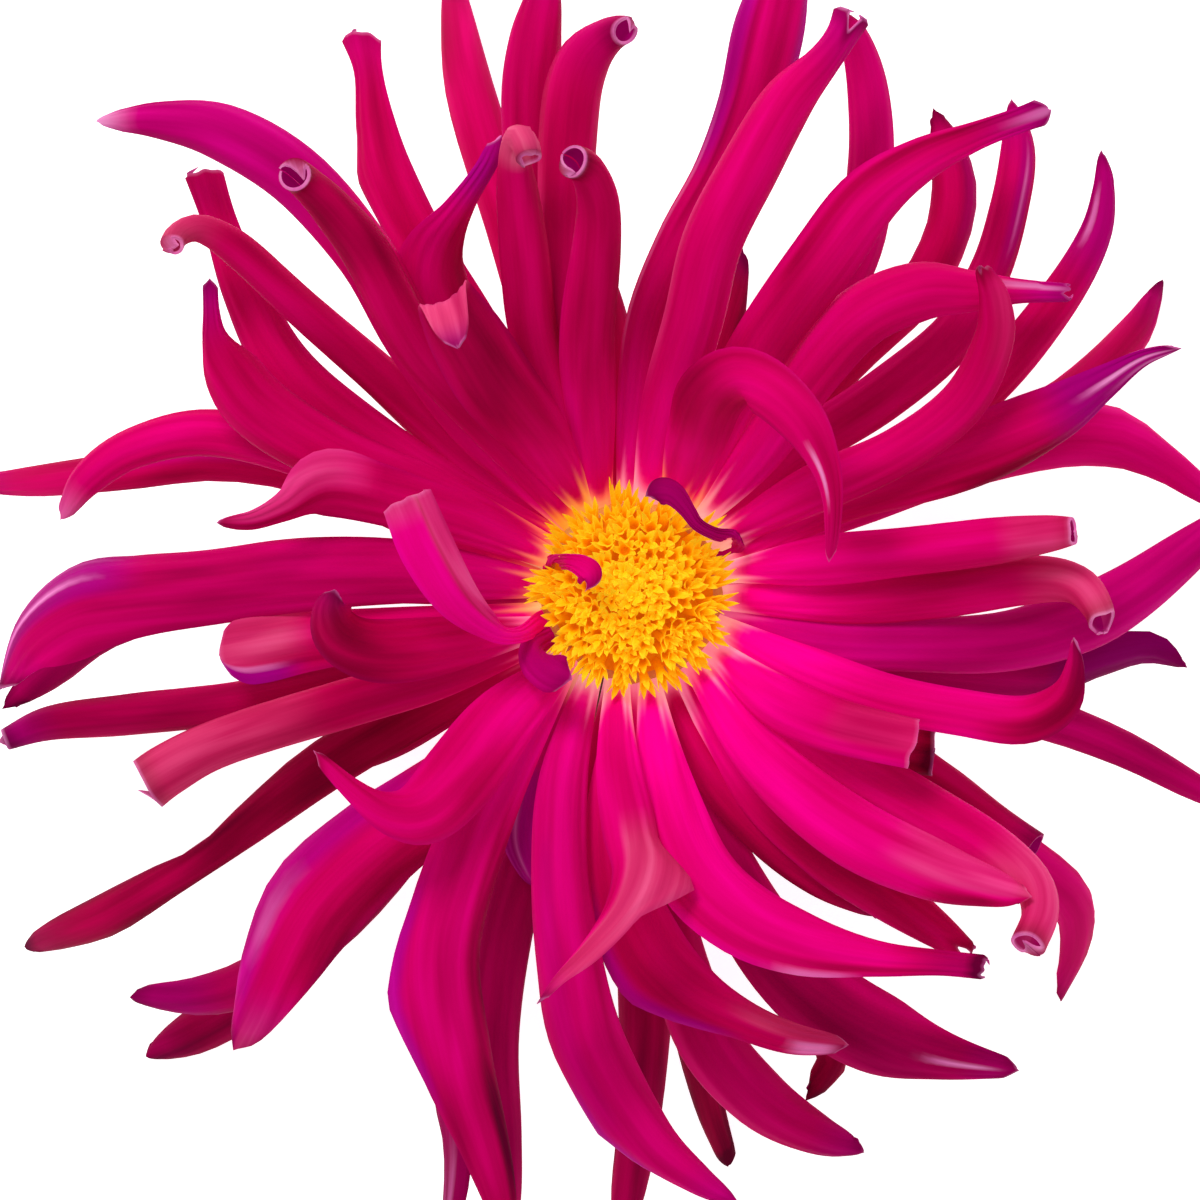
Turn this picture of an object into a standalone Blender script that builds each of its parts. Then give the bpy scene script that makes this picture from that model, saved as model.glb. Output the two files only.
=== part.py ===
# A cactus dahlia bloom, as picked: it lies face up on its own low petal tips and on the
# end of its short cut stem. The bloom is laid out round the flower's axis, with the table
# at height zero, and at the end everything is moved so that the origin is the middle of
# the footprint.

import math
import random

import bmesh
import bpy
from mathutils import Matrix, Vector

MM = 0.001

# Head, in millimetres: the disc of florets, the receptacle under it and the stem.
DISC_RADIUS = 11.6
DISC_BASE = 44.0
DISC_RISE = 3.2
RECEPTACLE_TOP = 43.6
RECEPTACLE_RADIUS = 13.0
RECEPTACLE_WAIST = 35.5
RECEPTACLE_SHOULDER = (11.4, 32.2)
RECEPTACLE_NECK = 9.0
RECEPTACLE_BOTTOM = 30.4
RIM_BEVEL = 0.9
STEM_RADIUS = 3.9
STEM_FLARE = 0.4
STEM_FLARE_DEPTH = 2.5
STEM_TOP = 27.6
PIECE_GAP = 0.35
HEAD_SIDES = 28
DISC_SIDES = 20
STEM_SIDES = 24

# Florets, in millimetres, degrees and counts.
FLORET_COUNT = 96
FLORET_LENGTH = 6.2
FLORET_ROOT_RADIUS = 0.5
FLORET_MOUTH_RADIUS = 0.85
FLORET_RIM_LEAN = 44.0
FLORET_SIDES = 4
FLORET_SINK = 1.2
FLORET_EDGE = 0.8
FLORET_CLEARANCE = 3.2

# Petals, in millimetres.
BLADE_THICKNESS = 0.8
ROOT_SINK = 3.6
ROOT_CEILING = 41.6
LEAST_HALF_WIDTH = 0.75
NARROW_HALF_WIDTH = 1.6
NARROW_ROLL = 60
SEED = 11

# Petals that start above this height show from the front, and get the finer mesh.
SHOWN_ROOT = 38.0
PLAIN_GAPS = 6
REAR_GAPS = 4

# Places across a petal, from edge to edge: the upper face's, then the under face's.
FINE_STATIONS = ((-1, -0.55, 0, 0.55, 1), (-0.55, 0, 0.55))
PLAIN_STATIONS = ((-1, -0.35, 0.35, 1), (-0.4, 0.4))
PATH_STEPS = 12

# Roll of a petal's edges towards its back, in degrees each side: claw, middle, tip.
ROLLS = {
    "tube": (48, 84, 108),
    "point": (45, 74, 60),
    "strap": (40, 56, 42),
}

# Each petal: name, kind, turn of its face (middle, tip) in degrees, and way-points
# (x, y, height, width) in millimetres from the claw to the tip. x runs to the right and
# y to the top of the bloom as it is seen from above.
TOP_PETALS = [
    ("t1", "tube", (0, 0), [(-4.5, 13, 43.5, 3.4), (-5.3, 24.5, 54, 7.5), (-5.5, 35, 64, 8),
     (-4.5, 46, 72, 7), (-4.2, 54, 76.5, 6), (-5.5, 59, 80, 5), (-8, 60.3, 83, 4)]),
    ("t2", "tube", (0, 0), [(-4.2, 12.6, 41, 3.4), (-8.2, 26, 47.5, 6.5), (-9.3, 40, 60, 7.5),
     (-8.8, 55, 64, 7.5), (-8, 68, 65, 7.5), (-6.5, 75, 65, 7), (-3.5, 78.5, 66, 4.5),
     (0, 79.6, 68, 3)]),
    ("t3", "point", (0, 0), [(-5.5, 12, 38, 3.4), (-11.5, 28, 43, 6.5), (-14, 45, 50, 7),
     (-14.2, 60, 55, 7.8), (-14.2, 71, 56, 8.6), (-13.4, 79, 56, 7.6), (-12.4, 85, 55, 5.4),
     (-12, 91, 54, 2)]),
    ("t4", "tube", (0, 0), [(-6.6, 12, 41.5, 3.4), (-10.2, 25, 52, 6), (-13.4, 35, 61, 7),
     (-14.8, 46, 69, 7.4), (-15.8, 56, 73, 7), (-16.2, 62.5, 75.5, 5), (-15.7, 64.5, 78.5, 4.5),
     (-15, 61, 80.5, 4)]),
    ("t5", "point", (0, 0), [(-6.5, 11, 36, 3.2), (-12, 32, 38, 6), (-17.5, 52, 34, 7),
     (-21.6, 66, 27, 7.5), (-24.3, 76, 19, 6.8), (-25.6, 84, 10, 4.8), (-26.2, 91, 0.53, 2)]),
    ("t6", "strap", (5, 60), [(-8, 11.5, 38.5, 3.4), (-16.3, 23, 45.5, 7.5), (-24, 34.5, 53, 10),
     (-27, 43.5, 58.5, 11), (-25.2, 51, 62.5, 9.5), (-21.9, 57.2, 68, 7), (-19.9, 62, 70, 4.8),
     (-18.5, 65.5, 71, 2.6)]),
    ("t7", "tube", (0, 0), [(-7.5, 10, 38, 3.4), (-19, 32, 40.5, 6.5), (-29.5, 48.5, 42, 7.5),
     (-34.8, 59, 41, 7.8), (-37.2, 68, 37, 6.5), (-38.3, 75, 33, 4), (-39.3, 81, 30, 3.5)]),
    ("t8", "point", (0, 0), [(-9, 10, 41.5, 3.4), (-20.5, 22, 50.5, 7.5), (-30.4, 35, 60, 8),
     (-37.6, 48, 65, 8.4), (-47.2, 59.2, 66, 8.8), (-58.5, 66, 64, 8.4), (-68, 67.8, 61, 5.4),
     (-76.5, 67.2, 58, 1.8)]),
    ("t9", "tube", (0, 0), [(-9, 10.7, 43.5, 3.4), (-19.5, 23.2, 57, 7), (-30, 34.5, 68.5, 7),
     (-37, 47.5, 75, 7), (-42, 54.5, 77, 6), (-45.3, 57.5, 79, 4.5), (-46.3, 58, 82, 3.6)]),
    ("t10", "strap", (0, 0), [(-7, 12.5, 44, 3.8), (-12.5, 20.5, 56, 9), (-18, 27.5, 66, 11.5),
     (-22.5, 34.5, 73.5, 11), (-25.5, 39.5, 79, 9), (-26.2, 41, 83, 7.5),
     (-25.6, 38.5, 86, 6), (-24.6, 34.5, 86.5, 3.5)]),
]
LEFT_PETALS = [
    ("l1", "tube", (0, 0), [(-10.5, 7.5, 40, 3.4), (-25, 14, 48, 7), (-40, 23.5, 51, 8.5),
     (-49.5, 32.5, 51, 8), (-55.5, 43.5, 49, 6.5), (-59, 53, 46, 5), (-62, 61.5, 43, 4.5)]),
    ("l2", "tube", (0, 0), [(-10.5, 9, 39.5, 3.4), (-24, 20, 45.5, 6.5), (-36, 31, 53.5, 6),
     (-47, 40.5, 60, 5.5), (-55.5, 48.5, 64, 5.5), (-60.5, 51.7, 65, 4.5),
     (-63.2, 51.2, 66.5, 3.5), (-64.2, 49.7, 68.5, 3)]),
    ("l4", "point", (0, 0), [(-11, 6, 41, 3.4), (-26, 12.5, 51, 7.5), (-42, 19.5, 56, 8.6),
     (-52.5, 26, 57, 9.5), (-58.3, 32.5, 57, 7), (-60, 38.5, 57, 3.8), (-60.2, 44.8, 58, 2)]),
    ("l5", "point", (0, 0), [(-11.5, 4.5, 39, 3.4), (-30, 13, 45, 6.5), (-47.5, 19.8, 47, 7),
     (-61, 22.8, 46, 6.8), (-71.6, 20.8, 43, 6), (-78.4, 16.2, 41, 5), (-81.8, 10.3, 40, 1.8)]),
    ("l6", "point", (0, 0), [(-11.5, 3.5, 36, 3.4), (-27, 9, 38, 6), (-44, 16.2, 36.5, 6),
     (-60, 19, 32, 5.8), (-75, 17.4, 25, 5.6), (-87, 16, 14, 4.5), (-97, 15.6, 0.46, 1.8)]),
    ("l7", "strap", (-5, -30), [(-12, 5, 43, 3.4), (-24, 10, 53, 7), (-36, 13.6, 59, 9),
     (-43.5, 14.6, 62, 10), (-49, 12.2, 64, 8), (-54, 10, 65.5, 4.4), (-59.2, 9.8, 66.5, 1.8)]),
    ("l8", "strap", (0, 0), [(-12, 4, 43, 3.4), (-21.5, 9, 58, 6.5), (-28, 12.4, 67, 7.5),
     (-31.8, 13, 72.5, 8), (-31.4, 9.6, 76, 8), (-28.6, 3.5, 75, 8), (-24.6, -2.8, 70, 6),
     (-17, -6.8, 63.5, 2)]),
    ("l10", "strap", (5, 45), [(-12.5, 1, 42.5, 3.8), (-28, 2.8, 52, 8.5), (-45, 2.6, 56, 10.5),
     (-61.5, 1.1, 55, 11), (-71.5, 0.2, 53, 13), (-80.3, -1.4, 50, 16), (-87, -6.2, 47, 13),
     (-90.6, -14, 45, 4)]),
    ("l11", "point", (0, 0), [(-12.5, -1, 36, 3.2), (-45, 1.2, 36, 6), (-73, -4, 27, 6),
     (-84.6, -11.6, 20, 5), (-90.5, -16.8, 18, 1.8)]),
    ("l12", "tube", (0, 0), [(-12.5, -3, 41.5, 3.4), (-26, -5, 49, 6.3), (-38, -6, 51, 7.3),
     (-47.5, -6.5, 51, 8.5), (-53.5, -7.5, 51.5, 9.5), (-57, -8.3, 52, 8)]),
    ("l13", "strap", (0, 0), [(-13, -5, 43, 3.4), (-25, -7, 54, 8), (-35, -8, 61, 9.5),
     (-41, -6.5, 67, 8), (-43, -3, 72, 5), (-42.3, 0.3, 75.5, 2)]),
    ("l14", "tube", (0, 0), [(-12.5, -5, 39, 3.4), (-27, -9.5, 45, 6.5), (-42, -13, 47, 7),
     (-57, -16, 45, 6.2), (-73, -17.6, 41, 6), (-84, -18.8, 38, 5), (-91, -21.5, 35, 3)]),
    ("l15", "tube", (0, 0), [(-12.5, -6.5, 41, 3.4), (-26, -11.5, 50, 6.5), (-39, -15.2, 54, 7),
     (-51, -18.8, 54, 7), (-61, -22.3, 52, 6.5), (-67.5, -25.7, 50, 5.5), (-71.5, -28.7, 49, 3.5)]),
    ("l16", "point", (0, 0), [(-11, -6.5, 36, 3.4), (-28, -15.5, 39, 7), (-44, -25, 36, 7.5),
     (-55, -33.2, 31, 5.8), (-66, -41, 25, 5.2), (-76.3, -47, 17, 6.3), (-83, -49.6, 9, 5),
     (-87.5, -51.2, 0.51, 2.5)]),
    ("l17", "strap", (0, 0), [(-9, -9.5, 43.5, 3.8), (-17, -17, 54, 9.5), (-23.5, -25, 62, 11),
     (-29, -30.5, 67, 9.5), (-34, -31, 70, 7), (-39, -28, 72.5, 4.5), (-45.3, -22.5, 74.5, 1.6)]),
    ("l18", "strap", (0, 0), [(-9.9, -9.9, 37, 3.8), (-20, -22, 45, 8.5), (-29.8, -30.4, 51, 12),
     (-38.6, -37, 51, 14), (-46.2, -44.7, 49, 15), (-51, -53.4, 46, 12), (-54.2, -60.3, 44, 7.5),
     (-57, -65.6, 42, 2.8)]),
    ("l19", "point", (0, 0), [(-10, -9, 35, 3.4), (-28, -30, 36, 7), (-42, -46.5, 31, 7.5),
     (-53.6, -55.6, 24, 7), (-62.5, -58.6, 19, 6), (-72.2, -58.2, 14, 2.8)]),
    ("l20", "point", (0, 0), [(-8.6, -10, 34.2, 3.4), (-24, -27, 30.5, 6.5), (-40, -44.5, 22, 7),
     (-54, -58, 12, 6.8), (-63, -63.8, 6, 6.8), (-70, -67, 0.95, 3)]),
]
BOTTOM_PETALS = [
    ("b1", "strap", (0, 0), [(-9.5, -10.5, 43, 3.8), (-17, -23, 52, 8.5), (-23.5, -38, 57, 10.5),
     (-27, -52, 57, 11.5), (-25, -66, 54, 11), (-21, -79, 50, 7.5), (-18.5, -88, 47, 4.5),
     (-17.5, -94, 45, 1.6)]),
    ("b2", "point", (0, 0), [(-8, -12, 38, 3.4), (-13.2, -30, 43, 7), (-18.4, -48, 43, 8.2),
     (-20.4, -64, 40, 8.2), (-19.6, -78, 35, 7.2), (-18.6, -88, 31, 5), (-18.4, -95, 28, 2)]),
    ("b3", "strap", (0, 60), [(-9, -11, 35.5, 3.4), (-18, -32, 38, 7), (-24, -52, 35, 7),
     (-26.5, -70, 30, 7), (-26, -80, 27, 6), (-26.5, -88, 24, 4.5), (-27.5, -94.5, 21, 2)]),
    ("b4", "strap", (0, 20), [(-8.3, -11.5, 40.5, 3.4), (-12, -21, 45.5, 7.5), (-14.5, -28, 47, 7.5),
     (-15.8, -35, 47.5, 6), (-14.5, -40, 47, 4), (-12.5, -43, 46, 1.6)]),
    ("b5", "strap", (0, 80), [(-2, -13.5, 44, 3.8), (-1.8, -24, 57, 6.5), (-0.2, -32.8, 62, 8),
     (0.3, -38.8, 66.5, 7), (-2, -44.7, 69, 6.4), (-6.6, -50.2, 70, 6.4), (-11, -54.7, 70, 4),
     (-13.6, -58.6, 69.5, 1.8)]),
    ("b6", "point", (0, 0), [(-6, -12.5, 42, 3.4), (-9.5, -26, 50, 7), (-10, -40, 54, 8.5),
     (-8.3, -53, 55, 9.5), (-5, -66, 53, 10.5), (2.5, -78, 50, 7.5), (9.5, -84, 48, 4.5),
     (15.3, -87.5, 47, 1.6)]),
    ("b7", "strap", (0, 0), [(2.5, -13.2, 43.3, 3.6), (4.4, -26, 54, 8), (8.5, -38, 62, 11.5),
     (15.5, -45.5, 64, 11.5), (24.5, -49.8, 63.5, 9.5), (35, -52, 61.5, 6.5),
     (44, -52.7, 60, 4.5), (51, -53.4, 59, 2.5)]),
    ("b8", "strap", (0, 0), [(-0.5, -13, 41, 3.4), (-2.2, -27, 47, 7.5), (-1.9, -40, 49.5, 10),
     (1.8, -50.3, 50, 11.6), (8, -57, 49.5, 9.4), (15.5, -61, 48.5, 6), (23, -63.8, 47.5, 4.6),
     (31, -64.8, 47, 2.4)]),
    ("b9", "point", (0, 0), [(1.5, -12.5, 38, 3.4), (3, -32, 42, 7), (6, -50, 40, 8),
     (10.8, -64.6, 36, 9.2), (18.6, -73.8, 31, 8.8), (26.8, -78.6, 27, 6.2),
     (33.4, -80.4, 24, 2.8)]),
    ("b10", "point", (0, 0), [(2, -12, 34.5, 3.2), (4, -35, 32.5, 5.5), (7.5, -58, 22, 5.5),
     (11, -74, 9, 4.5), (14, -82.8, 0.72, 2.8)]),
    ("b11", "point", (0, 0), [(0, -12, 35, 3.4), (1, -35, 36, 7), (2, -56, 31, 8),
     (1.5, -72, 24, 6.5), (-0.5, -87, 16, 5), (-1.5, -93, 13, 2)]),
    ("b12", "strap", (0, 0), [(4, -12.5, 38.5, 3.4), (10, -32, 40.5, 8), (18, -48.2, 42, 10.5),
     (27, -58, 41.5, 12), (36.3, -63.6, 41, 11.6), (45, -66.6, 39, 7), (55.5, -68.5, 37, 2.4)]),
    ("b13", "point", (0, 0), [(3.8, -12, 34.5, 3.2), (12, -35, 35, 6), (22, -55, 30, 6.5),
     (29, -66, 25, 5), (27.5, -70.5, 23, 4), (25, -73, 22, 2)]),
    ("b14", "point", (0, 0), [(5, -12.5, 39, 3.4), (11, -24.5, 43.5, 6.5), (18.5, -33.5, 44.5, 7),
     (27.5, -40.5, 44, 6.5), (37, -46, 43, 3)]),
]
RIGHT_PETALS = [
    ("r1", "point", (0, 0), [(9, -10.5, 43.5, 3.8), (18, -23, 55.5, 8), (30.5, -33, 62.5, 10),
     (42.5, -39, 64, 9), (51, -41.8, 64, 6), (57, -43.4, 64, 2.5)]),
    ("r2", "point", (0, 0), [(7.3, -11.4, 40, 3.4), (17.3, -27, 46.5, 7.5), (27.6, -36.6, 49, 8.5),
     (36.5, -42.9, 49, 7.5), (43.2, -47.8, 49, 5.5), (48.5, -51.8, 49, 3)]),
    ("r3", "tube", (0, 0), [(12, -8.5, 43.5, 3.4), (19, -14.3, 55.5, 7.5), (27, -18, 61.5, 8.2),
     (34.5, -20, 63, 7.8), (40.8, -21.3, 64, 7)]),
    ("r3b", "tube", (0, 0), [(12, -8, 39.5, 3.4), (22, -15.5, 44.5, 6.5), (33, -20.5, 48.5, 7.5),
     (43, -22, 51, 7)]),
    ("r4", "strap", (0, 0), [(13.3, -5.2, 43, 3.4), (24, -10.6, 50.5, 6.5), (35.5, -14.8, 56, 6.8),
     (47, -17, 60, 6.8), (55.5, -18, 62, 7), (60.8, -15.5, 64.5, 6), (62.6, -11, 67, 4),
     (62.8, -6.5, 69, 1.6)]),
    ("r5", "tube", (0, 0), [(11.5, -9.5, 41.5, 3.4), (21, -17.5, 49, 7), (31.3, -24.6, 53, 7.5),
     (41.1, -30.2, 55, 7.5), (49.8, -35.2, 57, 7), (55.8, -40, 60, 6), (57, -44.8, 63, 5),
     (55, -49.5, 66, 4)]),
    ("r5b", "tube", (0, 0), [(12.5, -7, 37, 3.4), (28, -17, 42, 6.5), (43, -27, 43, 7),
     (52, -33.3, 43, 6), (58, -37.6, 44, 4.5)]),
    ("r6", "point", (0, 0), [(11, -7.6, 34.5, 3.4), (30, -22, 36, 6.5), (48, -33, 31, 7),
     (60, -40.5, 23, 6.5), (65, -46, 16, 6.3), (65, -52, 8.5, 5.5), (61.8, -59, 0.7, 1.8)]),
    ("r7", "point", (0, 0), [(13, -5.5, 34.5, 3.4), (30, -12, 37, 6.5), (47, -15.5, 36, 6.5),
     (60, -18.3, 33, 6), (71, -22.6, 30, 5.3), (81, -28, 25, 4), (90, -32.5, 20, 1.6)]),
    ("r8", "point", (0, 0), [(13.5, -4, 40, 3.4), (26, -7, 47, 6.5), (39, -7.8, 50, 7),
     (53, -6.8, 49, 8.5), (64.5, -3.7, 47, 9.4), (72.4, 0.4, 45, 8.4), (81, 7, 42, 6),
     (88.5, 13.5, 39.5, 2)]),
    ("r9", "strap", (8, 60), [(13.2, -3.6, 36, 3.4), (30, -9, 40.5, 6.5), (47, -12, 40, 7),
     (60, -12.6, 37, 7.4), (68, -10.4, 34, 7.4), (74.2, -9, 32, 6.4), (79.5, -10.9, 31, 1.8)]),
    ("r10", "tube", (0, 0), [(13.5, -0.8, 42, 3.4), (29, -1, 50.5, 6), (43, 0.3, 54, 7),
     (55, 1.8, 56, 7.2), (62, 1.3, 58, 5.8), (65.3, -2, 60, 4.5), (66.5, -5.8, 61, 3)]),
    ("r11", "tube", (0, 0), [(13.8, 2.8, 43.5, 3.4), (25, 4, 54.5, 7.2), (38.5, 5.6, 61, 7),
     (51, 7, 64, 6.8), (58.5, 8, 65, 5.5), (63, 8.6, 66, 3.8)]),
    ("r12", "point", (0, 0), [(13.5, 5.5, 37, 3.4), (30, 12, 42, 7), (46, 18.5, 42, 8),
     (60, 22.5, 39, 9.5), (69.5, 22.5, 36, 9), (76.5, 19, 33, 6), (82, 15, 31, 4),
     (88, 11, 29, 1.6)]),
    ("r13", "strap", (0, 40), [(13.8, 4.5, 42, 3.4), (28, 12.5, 51, 7), (41, 17, 55, 9),
     (53, 21.3, 56, 10.5), (61.5, 25, 55.5, 9), (67.5, 29.2, 55, 6), (73, 33, 54.5, 3.5),
     (78.5, 34.8, 54, 1.6)]),
    ("r14", "point", (0, 0), [(11.9, 6.6, 34.5, 3.4), (30, 14.5, 35, 6), (47, 21, 31, 6.5),
     (60, 26, 23, 6.5), (68.3, 32.1, 14.5, 6), (73.8, 38.2, 7, 5), (76.6, 45, 0.64, 1.8)]),
    ("r15", "strap", (0, 0), [(6.2, 13, 44, 3.6), (8.6, 21.5, 58, 7.5), (11.6, 28.2, 69, 9),
     (17, 30.5, 77, 9), (22.6, 27.6, 81, 8), (26, 22, 82, 7), (28, 14.8, 80.5, 5),
     (28, 5.5, 77, 2)]),
    ("r16", "point", (0, 0), [(12.5, 7.5, 43, 3.4), (24, 13.5, 54, 7), (37, 19.5, 60, 7),
     (46.5, 26.5, 63, 6.8), (51, 35, 65.5, 6), (51.3, 41, 67.5, 4.5), (49.5, 46.5, 69.5, 2)]),
    ("r17", "point", (0, 0), [(12.8, 7.4, 40.5, 3.4), (27, 14.5, 48.5, 6.5), (41, 21.5, 52, 6.5),
     (52.2, 31.2, 52, 6.6), (61.1, 42, 51, 6), (66.2, 51, 49, 4.8), (67.5, 58, 48, 3.2),
     (67.1, 63.2, 47, 1.6)]),
    ("r18", "point", (0, 0), [(10.5, 11, 42.5, 3.4), (17.5, 19.5, 50, 7), (24.7, 30.4, 59, 8.6),
     (32.2, 38.7, 64, 9), (41, 42.7, 64.5, 8.6), (49, 42.8, 63, 7), (55.5, 42.8, 61.5, 4),
     (63, 42.6, 60, 2.6)]),
    ("r19", "point", (0, 0), [(11.5, 9.5, 38.5, 3.4), (22, 19, 43.5, 6.5), (35, 27.5, 47, 7.5),
     (46, 36.5, 49, 7), (51.3, 46, 49, 6), (54, 55.5, 49, 5.6), (55.2, 63.5, 47.5, 5),
     (54.2, 70.5, 47, 1.6)]),
    ("r20", "point", (0, 0), [(10, 10, 36.5, 3.4), (20, 22, 41, 6), (32, 34.5, 42, 6.5),
     (41, 43, 41, 6.7), (45.4, 51, 39, 6.6), (46.6, 58, 37.5, 6.6), (45.4, 64, 36.5, 5),
     (43.2, 69.3, 36, 1.8)]),
    ("r21", "strap", (0, 0), [(8, 12, 41.5, 3.6), (12.8, 24.5, 52, 7.5), (19.5, 36.5, 62, 9),
     (27.5, 47.3, 66.5, 9.8), (34, 55.8, 68, 9.8), (41.3, 61.3, 67.5, 8), (49, 64.9, 66.5, 5.6),
     (55.5, 67.3, 66, 4.6), (59.7, 68.8, 66, 3.4)]),
    ("r22", "point", (0, 0), [(8.5, 11.5, 39.5, 3.4), (17, 25, 45.5, 6.5), (26.5, 38, 50, 7),
     (32.5, 50, 51, 7), (34.3, 62, 50, 6.6), (33.8, 72, 48, 6), (32, 79, 47, 4.5),
     (29.5, 83, 47, 2.5)]),
    ("r24", "tube", (0, 0), [(2.3, 13.8, 43.5, 3.6), (5, 25.5, 54.5, 7.5), (8.8, 38, 65, 8.7),
     (11.6, 49, 70, 8.7), (17, 60, 72, 8.6), (22.4, 69.6, 71.5, 7.6), (28.4, 76.4, 70.5, 5),
     (33.5, 82.5, 70, 3.6)]),
    ("r25", "point", (0, 0), [(-0.5, 13.5, 42, 3.4), (1, 27, 50, 6.5), (2.6, 38, 55, 7),
     (7.4, 49.5, 58.5, 7.6), (12.9, 59, 60, 8.4), (17.1, 69, 60, 9.4), (20.2, 80, 59, 10.4),
     (22, 88.5, 57.5, 7.5), (22.5, 95, 56.5, 2)]),
]
# Three small petals that curl in over the disc.
INNER_PETALS = [
    ("c1", "strap", (0, 0), [(-13.2, 0.2, 43.3, 3), (-14.6, 0.3, 49.5, 3.4), (-13, 0.2, 55.5, 4.4),
     (-9.3, -0.2, 58.6, 4.8), (-5, -0.9, 59.6, 2.2)]),
    ("c2", "strap", (0, 0), [(12, 5.2, 43.3, 3), (13.2, 7, 49.5, 3.4), (11, 9.8, 55.5, 4.2),
     (6.6, 12, 58, 4), (2.4, 12.8, 58, 2)]),
    ("c3", "strap", (0, 0), [(-11.5, -6.2, 43.3, 3), (-13.6, -7.6, 49.5, 4.2),
     (-12.6, -9.6, 54.5, 5.3), (-10.2, -11.6, 56.8, 4.8), (-7.9, -13.1, 57, 3)]),
]

# Short petals that fill the back of the head, low and hidden from the front.
REAR_AZIMUTHS = (8, 48, 97, 131, 177, 211, 262, 323)
REAR_LENGTH = 39.0
REAR_WIDTH = 7.5
REAR_ROOT_RADIUS = 12.4
REAR_ROOT_HEIGHT = 34.3
# Along each: share of the length, height over the root and share of the width.
REAR_SHAPE = ((0, 0, 0.6), (0.35, 2.1, 0.9), (0.7, 0, 1), (1, -7, 0.3))

# Bracts, in millimetres and degrees.
BRACT_COUNT = 7
BRACT_LENGTH = 19.0
BRACT_WIDTH = 6.5
BRACT_THICKNESS = 1.1
BRACT_FOLD = 0.7
BRACT_ROOT_RADIUS = 8.2
BRACT_HEIGHT = 29.3
BRACT_DROOP = 8.0
# Along each: share of the length and share of the width.
BRACT_SHAPE = ((0, 0.7), (0.3, 1), (0.65, 0.85), (1, 0.2))
CUP_RIM = (11.9, 31.2)
CUP_LIP = (12.2, 30.4)
CUP_BELLY = (9.6, 28.6)


def clear_scene():
    for item in list(bpy.data.objects):
        bpy.data.objects.remove(item, do_unlink=True)


def new_collection(name):
    group = bpy.data.collections.new(name)
    bpy.context.scene.collection.children.link(group)
    return group


def new_material(name, colour, roughness):
    material = bpy.data.materials.new(name)
    material.use_nodes = True
    shader = material.node_tree.nodes["Principled BSDF"]
    shader.inputs["Base Color"].default_value = (*colour, 1.0)
    shader.inputs["Roughness"].default_value = roughness
    shader.inputs["Metallic"].default_value = 0.0
    return material


def new_object(name, bm, group, material=None):
    bmesh.ops.recalc_face_normals(bm, faces=bm.faces)
    mesh = bpy.data.meshes.new(name)
    bm.to_mesh(mesh)
    bm.free()
    item = bpy.data.objects.new(name, mesh)
    group.objects.link(item)
    if material:
        mesh.materials.append(material)
    return item


def smooth_path(points, count):
    """Even stations along a smooth curve through the way-points, all columns alike."""
    ends = [[2 * a - b for a, b in zip(points[0], points[1])]]
    ends += [list(p) for p in points]
    ends += [[2 * a - b for a, b in zip(points[-1], points[-2])]]
    fine = []
    for i in range(1, len(ends) - 2):
        for k in range(PATH_STEPS):
            t = k / PATH_STEPS
            row = []
            for a, b, c, d in zip(ends[i - 1], ends[i], ends[i + 1], ends[i + 2]):
                row.append(0.5 * (2 * b + (c - a) * t + (2 * a - 5 * b + 4 * c - d) * t * t
                                  + (3 * b - 3 * c + d - a) * t ** 3))
            fine.append(row)
    fine.append(list(points[-1]))
    lengths = [0.0]
    for a, b in zip(fine, fine[1:]):
        lengths.append(lengths[-1] + math.dist(a[:3], b[:3]))
    stations = []
    j = 0
    for k in range(count):
        goal = lengths[-1] * k / (count - 1)
        while j < len(fine) - 2 and lengths[j + 1] < goal:
            j += 1
        t = (goal - lengths[j]) / (lengths[j + 1] - lengths[j])
        stations.append([a + (b - a) * t for a, b in zip(fine[j], fine[j + 1])])
    return stations


def three_way(values, u):
    """Value at u between the claw, the middle and the tip."""
    start, middle, end = values
    if u < 0.5:
        return start + (middle - start) * u * 2
    return middle + (end - middle) * (u * 2 - 1)


def section(half_width, roll, thickness, top_stations, under_stations):
    """Crescent across a petal, as (sideways, up) pairs: a top arc and an under arc."""
    scale = half_width / math.sin(min(roll, math.pi / 2))
    points = []
    for s in top_stations:
        angle = roll * s
        points.append((scale * math.sin(angle), -scale * (1 - math.cos(angle))))
    for s in under_stations:
        angle = roll * s
        sideways = scale * math.sin(angle) - thickness * math.sin(angle)
        up = -scale * (1 - math.cos(angle)) - thickness * math.cos(angle)
        points.append((sideways, up))
    return points


def petal_frames(stations, turn):
    """Position, side and face direction at each station, carried along the curve."""
    places = [Vector(row[:3]) for row in stations]
    frames = []
    face = None
    for i, place in enumerate(places):
        ahead = places[min(i + 1, len(places) - 1)] - places[max(i - 1, 0)]
        ahead.normalize()
        if face is None:
            face = Vector((0, 0, 1))
        face = (face - ahead * face.dot(ahead)).normalized()
        u = i / (len(places) - 1)
        angle = math.radians(three_way((0, *turn), u))
        turned = Matrix.Rotation(angle, 3, ahead) @ face
        frames.append((place, ahead.cross(turned), turned))
    return frames


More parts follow.
